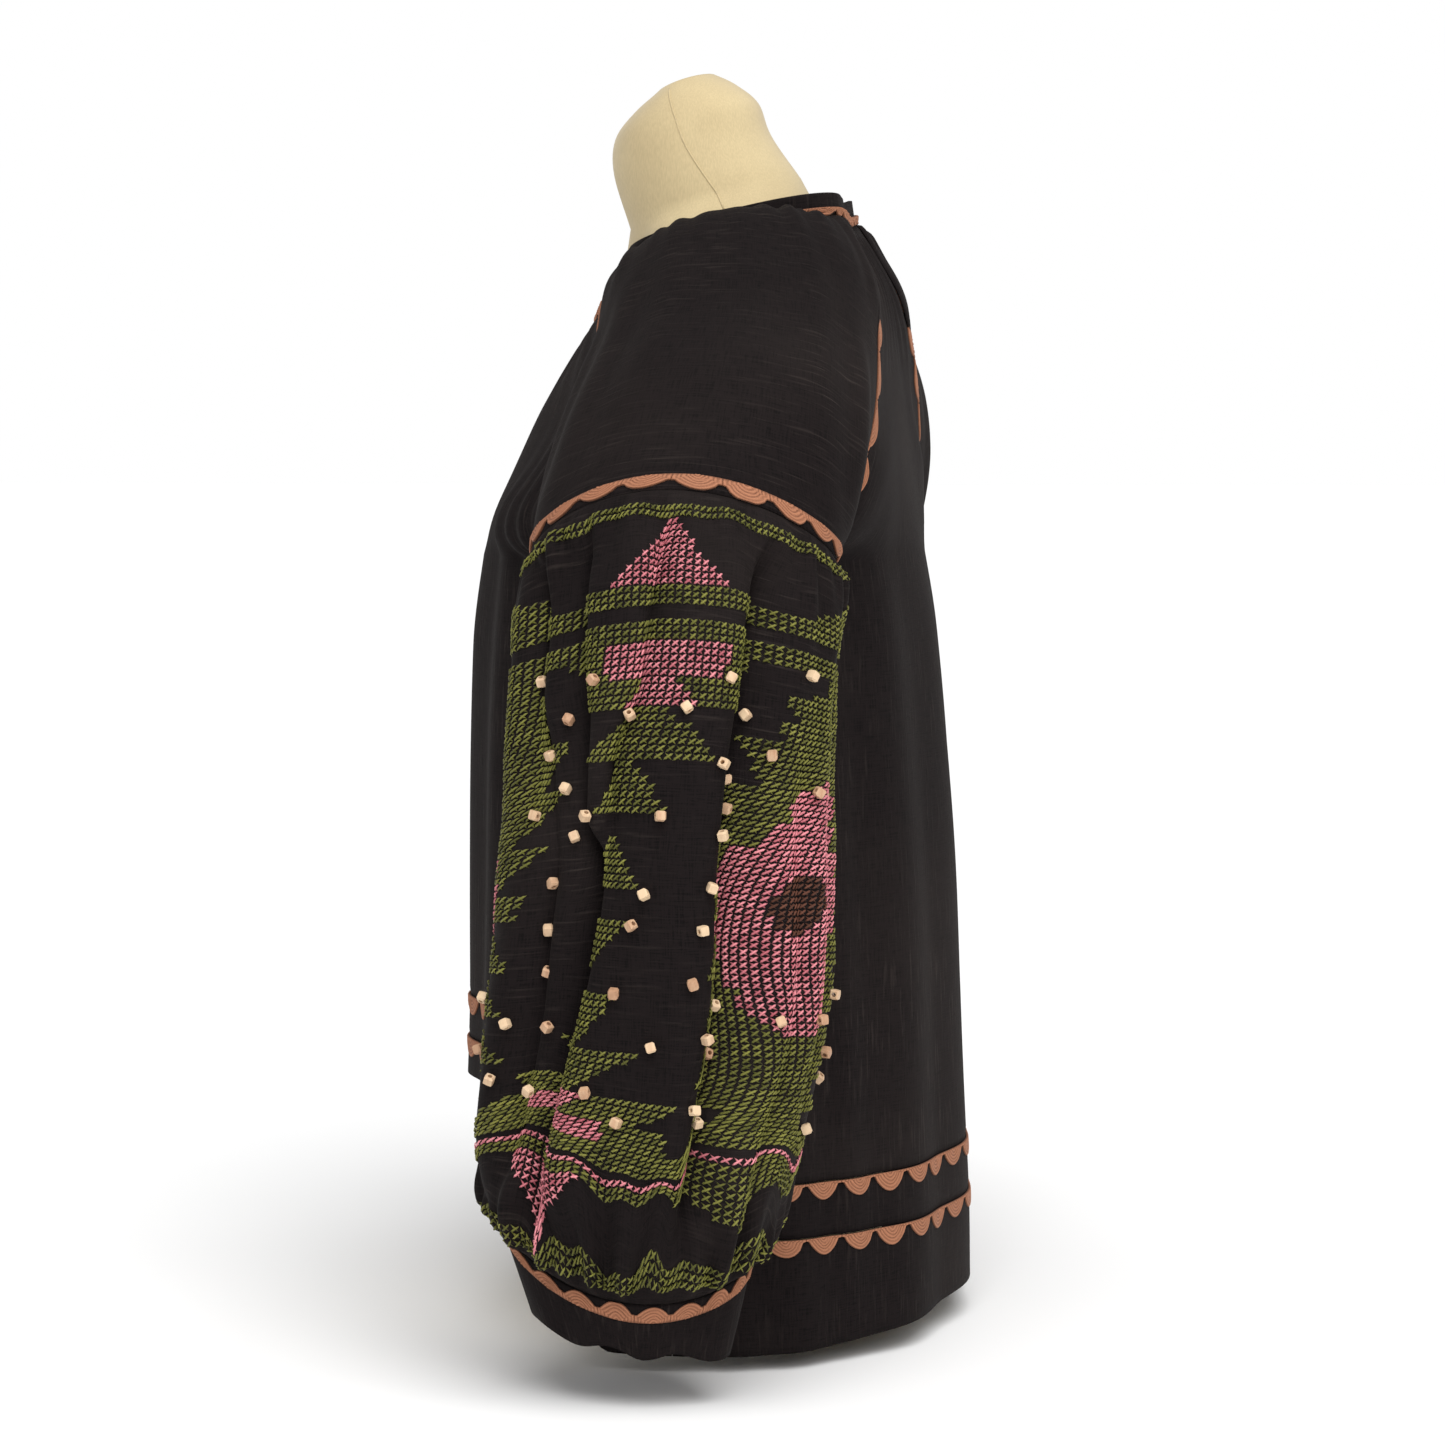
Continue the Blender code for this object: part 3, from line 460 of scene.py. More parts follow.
def sag(at, angle):
    """Slip of the cloth down the sleeve, as a part of its length."""
    at = np.clip(at, 0.0, 1.0)
    around = wrapped(angle)
    lower = FOLD_TURNS * smoothstep((at - 0.50) / 0.30)
    around = around + lower * np.exp(-((around - FOLD_PLACE) / FOLD_PLACE) ** 2)
    levels = SAG.every(at)
    levels.append(levels[0])
    total = 0.0 * (at + angle)
    for k in range(len(levels) - 1):
        share = smoothstep((around - SAG_ANGLES[k]) / (SAG_ANGLES[k + 1] - SAG_ANGLES[k]))
        total = total + (levels[k + 1] - levels[k]) * share
    total = total + levels[0]
    wave = np.sin(9 * around + 1.0) + 0.7 * np.sin(17 * around + 2.0 + 3 * np.sin(2 * around))
    ends = 0.70 * smoothstep((at - 0.80) / 0.12) * smoothstep((1 - at) / 0.035)
    ends = ends + 0.12 * smoothstep(at / 0.03) * smoothstep((0.16 - at) / 0.10)
    return (total + wave * ends) / SLEEVE_CM


def trough(distance):
    """A fold with a narrow bottom and round shoulders."""
    return np.exp(-np.abs(distance) ** 1.4) - 0.28 * np.exp(-((np.abs(distance) - 1.9) / 0.9) ** 2)


def sleeve_push(at, angle, seed):
    """Gathers at both ends, deep folds between the lobes, and slight crumpling.

    Gives how far the cloth moves out, and how far round, in radians.
    """
    draw = np.random.default_rng(seed)
    push = 0.0 * at * angle
    slide = push.copy()
    for row in SLEEVE_FOLDS.rows:
        _, start, end, width, depth, first, last, lean = row
        start, end = np.array((start, end)) + draw.uniform(-1.0, 1.0)
        place = np.radians(start + (end - start) * at + 1.2 * np.sin(7 * at + start))
        turn = wrapped(angle - place)
        along = smoothstep((at - first) / 0.10) * smoothstep((last - at) / 0.14)
        wide = np.radians(width) * (0.75 + 0.5 * np.sin(3.1 * at + 0.3 * start) ** 2)
        push = push - depth * trough(turn / wide) * along
        draw_together = ROLL * turn * np.exp(-(turn / wide / 1.7) ** 2)
        slide = slide + along * (lean * wide * np.exp(-np.abs(turn / wide) ** 1.6) - draw_together)
    for count, sign in ((TOP_GATHERS, 1), (CUFF_GATHERS, -1)):
        for k in range(count):
            place = -math.pi + 2 * math.pi * (k + draw.uniform(-0.28, 0.28)) / count
            depth = draw.uniform(0.0030, 0.0070) * (1.6 if sign < 0 else 1.15)
            reach = draw.uniform(0.07, 0.26)
            width = draw.uniform(0.032, 0.056)
            lean = draw.uniform(-0.25, 0.25)
            from_seam = at if sign > 0 else 1 - at
            turn = wrapped(angle - place - lean * from_seam)
            along = smoothstep(from_seam / 0.030) * smoothstep((reach - from_seam) / reach) ** 0.8
            spread = width * (1 + 5.0 * from_seam)
            push = push + depth * bump(turn / spread) * along
    calm = 0.25 + 0.75 * smoothstep((2.6 - np.abs(angle)) / 0.7)
    inside = smoothstep(at / 0.03) * smoothstep((1 - at) / 0.03)
    push = push + 0.0016 * ripple(angle * 3.2, at * 24, seed + 7) * inside
    return push * calm, slide * calm


def sleeve_points(at, angle, seed):
    at = np.clip(at + sag(at, angle), 0.0, 1.0)
    push, slide = sleeve_push(at, angle, seed)
    base, normals = sleeve_base(at + 0.0 * slide, angle + slide)
    return base + normals * push[..., None]


def round_normals(points, angle):
    """Normals of a tube's grid, turned outward."""
    normals = grid_normals(points, closed=True)
    return -normals if (normals[:, :, 0] * np.cos(angle)).sum() < 0 else normals


def sleeve_grid(seed):
    at = np.linspace(0, 1, SLEEVE_ROWS + 1)
    at = (at - 0.06 * np.sin(2 * math.pi * at))[:, None]
    angle = round_angles(SLEEVE_COLUMNS)
    points = sleeve_points(at, angle, seed)
    return points, round_normals(points, angle)


def cuff_grid(seed):
    """A cuff from the sleeve's end to its own wavy edge."""
    angle = round_angles(CUFF_COLUMNS)
    at = np.linspace(0, 1, CUFF_ROWS + 1)[:, None]
    columns = [first + (last - first) * at for first, last in zip(SLEEVE.every(1.0), CUFF_EDGE)]
    points = loop(*columns, angle)
    normals = loop_normals(columns[2], columns[5], angle)
    wave = 0.0016 * np.cos(8 * angle + seed + 2 * np.sin(2 * angle)) * at ** 1.5
    wave = wave + 0.0008 * ripple(angle * 6, at * 5, seed) * smoothstep(at / 0.2)
    points = points + normals * wave[..., None]
    points[..., 2] += 0.0024 * at * np.cos(6 * angle + seed - 0.9 + 2 * np.sin(2 * angle))
    return points, round_normals(points, angle)


def mirrored(grid):
    return grid[:, ::-1] * np.array((-1.0, 1.0, 1.0))


def place_thing(name, data, place=(0.0, 0.0, 0.0), toward=None):
    """An object in the scene; a light or camera is turned to look a given way."""
    thing = bpy.data.objects.new(name, data)
    thing.location = place
    if toward is not None:
        thing.rotation_euler = toward.to_track_quat("-Z", "Y").to_euler()
    bpy.context.scene.collection.objects.link(thing)
    return thing


def make_object(name, verts, faces, material, uvs=None, tone=None):
    mesh = bpy.data.meshes.new(name)
    mesh.from_pydata(np.asarray(verts, float).tolist(), [], faces)
    mesh.update()
    if uvs is not None:
        layer = mesh.uv_layers.new(name="UVMap")
        index = np.empty(len(mesh.loops), dtype=np.int32)
        mesh.loops.foreach_get("vertex_index", index)
        layer.data.foreach_set("uv", np.asarray(uvs, np.float32)[index].ravel())
    if tone is not None:
        layer = mesh.attributes.new("tone", "FLOAT", "POINT")
        layer.data.foreach_set("value", np.asarray(tone, np.float32))
    mesh.shade_smooth()
    mesh.materials.append(material)
    return place_thing(name, mesh)


def quads(rows, columns, closed):
    last = columns if closed else columns - 1
    i, j = np.meshgrid(np.arange(rows - 1), np.arange(last), indexing="ij")
    k = (j + 1) % columns
    return np.stack((i * columns + j, (i + 1) * columns + j, (i + 1) * columns + k,
                     i * columns + k), axis=-1).reshape(-1, 4)


def rim(rows, columns, closed):
    """Vertex numbers round a grid's open edges, as strips."""
    strips = [list(range(columns)), [(rows - 1) * columns + j for j in range(columns)]]
    if closed:
        return [s + s[:1] for s in strips]
    return strips + [[i * columns for i in range(rows)], [i * columns + columns - 1 for i in range(rows)]]


def shell(name, points, normals, material, closed=False, thickness=SHELL):
    """A thin closed wall on a grid, with a cloth-sized UV map."""
    rows, columns = points.shape[:2]
    count = rows * columns
    verts = np.concatenate((points.reshape(-1, 3), (points - thickness * normals).reshape(-1, 3)))
    across = np.linalg.norm(np.diff(points, axis=1), axis=-1).mean(axis=0)
    down = np.linalg.norm(np.diff(points, axis=0), axis=-1).mean(axis=1)
    u = np.concatenate(([0.0], np.cumsum(across)))
    v = np.concatenate(([0.0], np.cumsum(down)))
    uv = np.stack(np.meshgrid(u, v), axis=-1).reshape(-1, 2)
    outer = quads(rows, columns, closed)
    a, b, c = verts[outer[:, 0]], verts[outer[:, 1]], verts[outer[:, 3]]
    facing = (np.cross(b - a, c - a) * normals.reshape(-1, 3)[outer[:, 0]]).sum()
    if facing < 0:
        outer = outer[:, ::-1]
    faces = outer.tolist() + (outer[:, ::-1] + count).tolist()
    edges = {pair for face in outer.tolist() for pair in zip(face, face[1:] + face[:1])}
    for strip in rim(rows, columns, closed):
        for p, q in zip(strip, strip[1:]):
            if (p, q) in edges:
                p, q = q, p
            faces.append([p, q, q + count, p + count])
    return make_object(name, verts, faces, material, uvs=np.concatenate((uv, uv)))


def draw_in(points, normals, top=SEAM / 2, bottom=SEAM / 2, sides=SEAM / 2):
    """Pull a piece's edges back from its seams and turn them slightly under."""
    moved = points.copy()
    for row, inner, amount in ((0, 1, top), (-1, -2, bottom)):
        if amount:
            moved[row] += amount * unit(points[inner] - points[row]) - SEAM * normals[row]
    if sides:
        for column, inner in ((0, 1), (-1, -2)):
            moved[:, column] += sides * unit(points[:, inner] - points[:, column])
            moved[:, column] -= SEAM * normals[:, column]
    return moved


def join(parts):
    """Several lists of (verts, faces, tone) made one."""
    verts, faces, tones, start = [], [], [], 0
    for points, sides, tone in parts:
        verts.append(points)
        faces.extend([[k + start for k in f] for f in sides])
        tones.append(tone)
        start += len(points)
    return np.concatenate(verts), faces, np.concatenate(tones)


def sample(grid, rows, columns, closed):
    """A grid's value at fractional rows and columns."""
    count = grid.shape[1]
    i = np.clip(np.floor(rows).astype(int), 0, grid.shape[0] - 2)
    j = np.floor(columns).astype(int)
    a, b = (rows - i)[..., None], (columns - j)[..., None]
    if closed:
        j, k = j % count, (j + 1) % count
    else:
        j = np.clip(j, 0, count - 2)
        b = (columns - j)[..., None]
        k = j + 1
    return ((grid[i, j] * (1 - b) + grid[i, k] * b) * (1 - a)
            + (grid[i + 1, j] * (1 - b) + grid[i + 1, k] * b) * a)


def half_disc(neck, wide, uneven, number):
    """One lobe of tape as fans of points: part along it, depth across it, and height of the thread."""
    t = np.linspace(0, 1, 15)
    lobe = np.clip((t - 0.07) / 0.86, 0, 1) ** (1.0 + 0.16 * uneven[0])
    bulge = np.sin(math.pi * lobe) ** (0.74 + 0.12 * uneven[2])
    depth = neck + (wide * (1 + 0.10 * uneven[1]) - neck) * bulge
    edge_s = np.concatenate(([0.0, 0.0], t, [1.0, 1.0]))
    edge_d = np.concatenate(([0.0, neck / 2], depth, [neck / 2, 0.0]))
    r = (np.arange(1, TAPE_RINGS + 1) / TAPE_RINGS)[:, None]
    s = 0.5 + (edge_s - 0.5) * r
    waver = 0.05 * np.sin(7 * s + number) + 0.03 * np.sin(17 * s + 2 * number)
    height = TAPE_THICK * (0.60 + 0.40 * np.cos(2 * math.pi * TAPE_ARCS * (r + waver * (1 - r))))
    height[-1] = 0.25 * TAPE_THICK
    height[:, (0, -1)] = 0.25 * TAPE_THICK
    return [np.concatenate(([first], grid.ravel())) for first, grid in
            ((0.5, s), (0.0, edge_d * r), (0.4 * TAPE_THICK, height))]


def fan_faces(count):
    """Faces of a half disc's top, its edge wall and its underside, and the outline that they share."""
    faces = [[0, 1 + j, 2 + j] for j in range(count - 1)]
    for i in range(TAPE_RINGS - 1):
        a = 1 + i * count
        faces += [[a + j, a + count + j, a + count + j + 1, a + j + 1] for j in range(count - 1)]
    total = 1 + TAPE_RINGS * count
    outline = [0] + [1 + i * count for i in range(TAPE_RINGS)]
    outline += [1 + (TAPE_RINGS - 1) * count + j for j in range(1, count)]
    outline += [count + i * count for i in range(TAPE_RINGS - 2, -1, -1)]
    ring = len(outline)
    faces += [[outline[k], total + k, total + (k + 1) % ring, outline[(k + 1) % ring]]
              for k in range(ring)]
    faces.append([total + k for k in range(ring - 1, -1, -1)])
    return faces, outline


def scalloped_tape(name, points, normals, stops, material, closed=False, start=SEAM / 2,
                   wide=TAPE_WIDE, lift=0.0004, turned=False, neck=TAPE_NARROW):
    """Stitched half discs along a grid's first row; each has raised arcs of thread."""
    length = np.linalg.norm(np.diff(points, axis=0), axis=-1)
    length = np.concatenate((np.zeros((1, length.shape[1])), np.cumsum(length, axis=0)))
    parts = []
    for first, last in zip(stops[:-1], stops[1:]):
        uneven = np.sin(np.array((3.1, 5.3, 7.9)) * first + len(name))
        s, d, height = half_disc(neck, wide, uneven, first)
        wobble = 0.0005 * np.sin(2.7 * first + 1.3)
        d = start + (wide - d if turned else d) + wobble * d / wide
        columns = first + (last - first) * s
        near = np.clip(np.floor(columns).astype(int) % points.shape[1], 0, points.shape[1] - 1)
        rows = np.array([np.interp(v, length[:, k], np.arange(len(points))) for v, k in zip(d, near)])
        spot = sample(points, rows, columns, closed)
        facing = unit(sample(normals, rows, columns, closed))
        faces, outline = fan_faces((len(s) - 1) // TAPE_RINGS)
        under = (spot - facing * 0.0002)[outline]
        verts = np.concatenate((spot + facing * (lift + height)[:, None], under))
        p = verts[faces[len(faces) // 3][:3]]
        if (np.cross(p[1] - p[0], p[2] - p[0]) * facing[0]).sum() < 0:
            faces = [f[::-1] for f in faces]
        # The tone is the thread's height: painted shade, darker in the low grooves between the raised arcs,
        # at the middle and rim of each half disc, and on its underside.
        parts.append((verts, faces, np.concatenate((height / TAPE_THICK, np.full(len(outline), 0.2)))))
    verts, faces, tone = join(parts)
    return make_object(name, verts, faces, material, tone=tone)


# Materials

class Look:
    """A material and the nodes that are added to it, each step giving the output of its node."""

    def __init__(self, name, roughness, sheen=0.0, specular=0.25):
        self.material = bpy.data.materials.new(name)
        self.material.use_nodes = True
        self.shader = self.material.node_tree.nodes["Principled BSDF"]
        for socket, value in (("Roughness", roughness), ("Sheen Weight", sheen), ("Sheen Roughness", 0.45),
                              ("Specular IOR Level", specular)):
            self.shader.inputs[socket].default_value = value

    def node(self, kind):
        return self.material.node_tree.nodes.new(kind)

    def feed(self, socket, value):
        """Link another node's output to a socket, or set it to a number or colour."""
        if isinstance(value, float):
            socket.default_value = value
        elif isinstance(value, tuple):
            socket.default_value = (*value, 1.0)
        else:
            self.material.node_tree.links.new(value, socket)

    def place(self):
        return self.node("ShaderNodeTexCoord").outputs["Object"]

    def noise(self, vector, scale, stretch=(1, 1, 1), detail=3.0):
        mapping = self.node("ShaderNodeMapping")
        mapping.inputs["Scale"].default_value = stretch
        self.feed(mapping.inputs["Vector"], vector)
        texture = self.node("ShaderNodeTexNoise")
        texture.inputs["Scale"].default_value = scale
        texture.inputs["Detail"].default_value = detail
        self.feed(texture.inputs["Vector"], mapping.outputs["Vector"])
        return texture.outputs["Fac"]

    def ramp(self, value, *stops):
        node = self.node("ShaderNodeValToRGB")
        while len(node.color_ramp.elements) < len(stops):
            node.color_ramp.elements.new(0.5)
        for element, (place, colour) in zip(node.color_ramp.elements, stops):
            element.position = place
            element.color = (*colour, 1.0)
        self.feed(node.inputs["Fac"], value)
        return node.outputs["Color"]

    def maths(self, operation, first, second):
        node = self.node("ShaderNodeMath")
        node.operation = operation
        self.feed(node.inputs[0], first)
        self.feed(node.inputs[1], second)
        return node.outputs["Value"]

    def mix(self, share, first, second, blend="MIX"):
        node = self.node("ShaderNodeMix")
        node.data_type = "RGBA"
        node.blend_type = blend
        self.feed(node.inputs["Factor"], share)
        self.feed(node.inputs[6], first)
        self.feed(node.inputs[7], second)
        return node.outputs[2]

    def grained_tone(self, grain, strength):
        """Each stitch's and bead's own tone, and a tape's painted shade from its thread height, with some
        grain added.
        """
        tone = self.node("ShaderNodeAttribute")
        tone.attribute_name = "tone"
        return self.maths("ADD", tone.outputs["Fac"], self.maths("MULTIPLY", grain, strength))

    def finished(self, colour, height=None, distance=0.0003, strength=0.5):
        """The material, with its colour and its relief linked up."""
        self.feed(self.shader.inputs["Base Color"], colour)
        if height is not None:
            node = self.node("ShaderNodeBump")
            node.inputs["Distance"].default_value = distance
            node.inputs["Strength"].default_value = strength
            self.feed(node.inputs["Height"], height)
            self.feed(self.shader.inputs["Normal"], node.outputs["Normal"])
        return self.material


def grey(value):
    return value, value, value


def cloth_material(name, along=True):
    """Dark slub weave. Slubs run along the cloth's width, or down it."""
    look = Look(name, 0.85, 0.02, 0.12)
    look.shader.inputs["Sheen Tint"].default_value = (0.62, 0.52, 0.46, 1.0)
    uv = look.node("ShaderNodeUVMap").outputs["UV"]
    slub = look.noise(uv, 34.0, (1.0, 14.0, 1) if along else (14.0, 1.0, 1), 4.0)
    fine = look.noise(uv, 90.0, (1.0, 16.0, 1), 2.0)
    warp = look.noise(uv, 90.0, (16.0, 1.0, 1), 2.0)
    weave = look.maths("ADD", fine, warp)
    base = look.ramp(weave, (0.78, CLOTH_DARK), (1.0, CLOTH_MIDDLE))
    thick = look.ramp(slub, (0.55, grey(0)), (0.72, grey(1)))
    patchy = look.ramp(look.noise(uv, 9.0), (0.38, grey(0.05)), (0.68, grey(0.42)))
    faded = look.ramp(look.noise(uv, 5.0, detail=4.0), (0.46, grey(0)), (0.72, grey(0.17)))
    share = look.maths("ADD", look.maths("MULTIPLY", thick, patchy), faded)
    height = look.maths("ADD", weave, look.maths("MULTIPLY", thick, 1.4))
    return look.finished(look.mix(share, base, CLOTH_LIGHT), height, 0.00035, 0.55)


def thread_material(name, dark, light, roughness=0.52, reach=(0.15, 1.15)):
    """Twisted thread, its colour a little different from stitch to stitch. On a tape the tone is the
    thread's height, so painted shade darkens the low grooves between raised arcs, the rim and the
    underside.
    """
    look = Look(name, roughness, 0.04, 0.15)
    grain = look.noise(look.place(), 1500.0, detail=2.0)
    tone = look.maths("SUBTRACT", look.grained_tone(grain, 0.6), reach[0])
    tone = look.maths("DIVIDE", tone, reach[1] - reach[0])
    return look.finished(look.ramp(tone, (0.0, dark), (1.0, light)), grain)


def form_material():
    """Cotton jersey over the form."""
    look = Look("form_jersey", 0.78, 0.25)
    place = look.place()
    rib = look.noise(place, 260.0, (5.0, 5.0, 1.0), 2.0)
    cloud = look.noise(place, 14.0)
    colour = look.ramp(cloud, (0.30, (0.55, 0.435, 0.245)), (0.72, (0.70, 0.570, 0.330)))
    shade = look.ramp(rib, (0.35, grey(0.90)), (0.65, grey(1)))
    return look.finished(look.mix(1.0, colour, shade, "MULTIPLY"), rib, strength=0.35)


def wood_material():
    """Waxed wood with fine grain, from pale to reddish."""
    look = Look("bead_wood", 0.45)
    grain = look.noise(look.place(), 420.0, (1.0, 1.0, 0.25))
    colour = look.ramp(look.grained_tone(grain, 0.7), (0.10, (0.26, 0.13, 0.07)),
                       (0.50, (0.52, 0.30, 0.18)), (1.00, (0.76, 0.56, 0.36)))
    return look.finished(colour, grain, strength=0.4)


# Cross stitch

def ellipse_angles():
    """Angle round the sleeve against arc length, outer side at zero, one turn in all."""
    angle = np.linspace(-math.pi, math.pi, 2001)
    step = np.hypot(ROUND_OUT * np.sin(angle), ROUND_HALF * np.cos(angle))
    length = np.concatenate(([0.0], np.cumsum((step[1:] + step[:-1]) / 2 * np.diff(angle))))
    return angle, length / length[-1] - 0.5


def chart(a, t):
    """0 bare, 1 green, 2 pink, 3 brown, at a cm from a first motif's axis and t cm from the middle."""
    b = HALF_REPEAT - a
    tooth = 1.7 * (((t - 0.8) / 2.8) % 1.0)
    colour = np.zeros(np.broadcast(a, t).shape, int)

    def paint(where, value):
        colour[where] = value

    paint((t > 20.2) & (t < 21.0), 1)
    paint((t > 16.2) & (t < 20.2) & (a < 3.3 * (20.2 - t) / 4 + 0.1), 2)
    paint((t > 13.5) & (t < 18.6) & (b < 1.9 * (18.6 - t)), 1)
    paint((t > 15.5) & (t < 16.3), 1)
    paint((t > 15.15) & (t < 15.5), 2)
    paint((t > 14.65) & (t < 15.15), 0)
    paint((t > 13.3) & (t < 14.65), 1)
    # Pink body of the first motif, in its green field
    paint((t > 11.5) & (t < 13.3) & (a < 5.3 + 0.5 * (t - 11.5)), 1)
    paint((t > 11.7) & (t < 13.3) & (a < 3.3 - 0.25 * (13.3 - t)), 2)
    paint((t > 10.0) & (t < 11.7) & (a < 4.1 + 0.9 * (11.7 - t)), 1)
    paint((t > 10.0) & (t < 11.8) & (a < 0.5 + 0.85 * (11.8 - t)), 2)
    # Green stepped triangles under it
    paint((t > 7.3) & (t < 10.0) & (a < 0.9 + (10.0 - t) * 0.96), 1)
    paint((t > 4.6) & (t < 7.3) & (a < 0.4 + (7.3 - t) * 0.60), 1)
    paint((t > 0.7) & (t < 3.4) & (a < 2.5 - 0.85 * (t - 0.7)), 1)
    # Green mass with teeth round the second motif
    paint((t < 13.4) & (t > 10.3) & (b < 3.2 + tooth), 1)
    paint((t <= 10.3) & (b < 4.1 + tooth), 1)
    paint((t > 12.2) & (t < 13.3) & (b > 2.4) & (a > 6.2), 0)
    # Pink star
    star = (b < 4.4 - 0.8 * np.floor(t / 1.6)) & (t < 6.4)
    star |= (b < 2.6 - 0.95 * np.abs(t - 5.6)) & (t < 7.4)
    paint(star, 2)
    paint((b / 1.35) ** 2 + (t / 1.7) ** 2 < 1, 3)
    return colour


def sleeve_place():
    """Turns cloth centimetres (round the sleeve, and down it) into places on the surface."""
    fine = np.linspace(0, 1, 801)
    outer = sleeve_base(fine, 0.0 * fine)[0]
    length = np.concatenate(([0.0], np.cumsum(np.linalg.norm(np.diff(outer, axis=0), axis=-1))))
    angles, parts = ellipse_angles()

    def place(across_cm, down_cm):
        at = np.interp(down_cm / SLEEVE_CM * length[-1], length, fine)
        drift = 100 * SLEEVE_TWIST.read("turn", at)
        drawn_in = 0.95 * smoothstep((at - 0.22) / 0.20) * smoothstep((0.80 - at) / 0.25)
        drift = drift + drawn_in * np.cos(math.pi * (across_cm - FIRST_AXIS) / HALF_REPEAT)
        share = ((across_cm + drift) / (4 * HALF_REPEAT) + 0.5) % 1.0 - 0.5
        return at, np.interp(share, parts, angles)

    return place


def surface(at, angle, seed):
    """Points on a sleeve and its normals, worked out a small step apart."""
    step = 0.004
    here = sleeve_points(at, angle, seed)
    round_it = sleeve_points(at, angle + step, seed) - sleeve_points(at, angle - step, seed)
    down = (sleeve_points(np.clip(at + step, 0, 1), angle, seed)
            - sleeve_points(np.clip(at - step, 0, 1), angle, seed))
    normals = unit(np.cross(down, round_it))
    out = stack(np.cos(angle), np.sin(angle), 0.0 * angle)
    return here, normals * np.where((normals * out).sum(axis=-1, keepdims=True) < 0, -1.0, 1.0)


def bars(first, second, normals, height, width, tones, shares=(0.22, 0.78)):
    """One closed spindle of thread from each first point to its second, with rings at the given shares."""
    along = second - first
    side = unit(np.cross(along, normals)) * width
    rings = []
    for share in shares:
        spot = first + along * share + normals * (0.85 * height)[:, None]
        rings.append(np.stack((spot - side, spot + side, spot + normals * (0.75 * width)), axis=1))
    ends = np.stack((first, second), axis=1) + normals[:, None, :] * 0.0001
    verts = np.concatenate((ends, *rings), axis=1)
    size = verts.shape[1]
    a, b, c = size - 3, size - 2, size - 1
    pattern = [[0, 3, 2], [0, 4, 3], [0, 2, 4], [1, a, b], [1, b, c], [1, c, a]]
    if len(shares) == 2:
        pattern += [[2, 3, b, a], [3, 4, c, b], [4, 2, a, c]]
    count = len(first)
    starts = (np.arange(count) * size)[:, None]
    faces = []
    for shape in pattern:
        faces.extend((np.array(shape)[None, :] + starts).tolist())
    return verts.reshape(-1, 3), faces, np.repeat(tones, size)


def cross_stitch(hand, seed, materials):
    """All stitches of one sleeve, each two crossing bars, as one piece for each colour."""
    i, j = np.meshgrid(np.arange(STITCH_ROWS), np.arange(COLUMNS), indexing="ij")
    across = (j + 0.5) / COLUMNS * 4 * HALF_REPEAT - 2 * HALF_REPEAT
    down = (i + 0.5) * CELL_TALL * 100 + FIRST_ROW
    a = np.abs((across - FIRST_AXIS + HALF_REPEAT) % (2 * HALF_REPEAT) - HALF_REPEAT)
    colours = chart(a, np.abs(down - MIDDLE))
    place = sleeve_place()
    i, j = np.meshgrid(np.arange(STITCH_ROWS + 1), np.arange(COLUMNS + 1), indexing="ij")
    edge_across = j / COLUMNS * 4 * HALF_REPEAT - 2 * HALF_REPEAT
    at, angle = place(edge_across, i * CELL_TALL * 100 + FIRST_ROW)
    points, normals = surface(at, angle, seed)
    draw = np.random.default_rng(seed + 40)
    turn = np.array((1.0 if hand == "left" else -1.0, 1.0, 1.0))
    pieces = []
    for value, colour in ((1, "green"), (2, "pink"), (3, "brown")):
        rows_at, columns_at = np.nonzero(colours == value)
        count = len(rows_at)
        shake = draw.normal(0, 0.00016, (4, count, 3))
        corner = [points[rows_at + p, columns_at + q] * turn + shake[2 * p + q]
                  for p in (0, 1) for q in (0, 1)]
        facing = unit(sum(normals[rows_at + p, columns_at + q] for p in (0, 1) for q in (0, 1))) * turn
        middle = sum(corner) / 4
        corner = [middle + (c - middle) * 0.94 for c in corner]
        tone = draw.uniform(0.0, 0.55, count)
        low = bars(corner[0], corner[3], facing, np.full(count, 0.00045), 0.00080, tone, shares=(0.5,))
        high = bars(corner[2], corner[1], facing, np.full(count, 0.00105), 0.00068,
                    tone + draw.uniform(0.0, 0.25, count))
        verts, faces, tones = join((low, high))
        piece = make_object(f"{hand}_{colour}_stitches", verts, faces, materials[colour], tone=tones)
        pieces.append(piece)
    return pieces


def bead_shape():
    """A small cube with a hole through it: its rings, inner edge to inner edge, and its faces."""
    half, bevel, hole = BEAD / 2, 0.0008, 0.0013
    around = 12
    angle = (np.arange(around) + 0.5) * 2 * math.pi / around
    square = 1.0 / np.maximum(np.abs(np.cos(angle)), np.abs(np.sin(angle)))
    square = np.minimum(square, 1.28)
    rings = []
    for x, radius, is_square in ((-half, hole, 0), (-half, half - bevel, 1), (-half + bevel, half, 1),
                                 (half - bevel, half, 1), (half, half - bevel, 1), (half, hole, 0)):
        reach = radius * (square if is_square else 1.0)
        rings.append(stack(x, reach * np.cos(angle), reach * np.sin(angle)))
    faces = []
    for k in range(6):
        for j in range(around):
            n = (j + 1) % around
            m = (k + 1) % 6
            faces.append([k * around + j, k * around + n, m * around + n, m * around + j])
    return np.concatenate(rings), faces


# Beads: cm from a first motif's axis and from the middle line, repeated on both sides of each
BEAD_PLACES = ((3.3, 11.6), (1.7, 9.9), (3.6, 7.2), (1.9, 4.5), (6.2, 10.3), (6.0, 6.7), (5.0, 3.7),
               (7.4, 8.5), (2.5, 0.8), (5.4, 1.2), (10.8, 6.6), (8.0, 13.1), (7.4, 5.2))


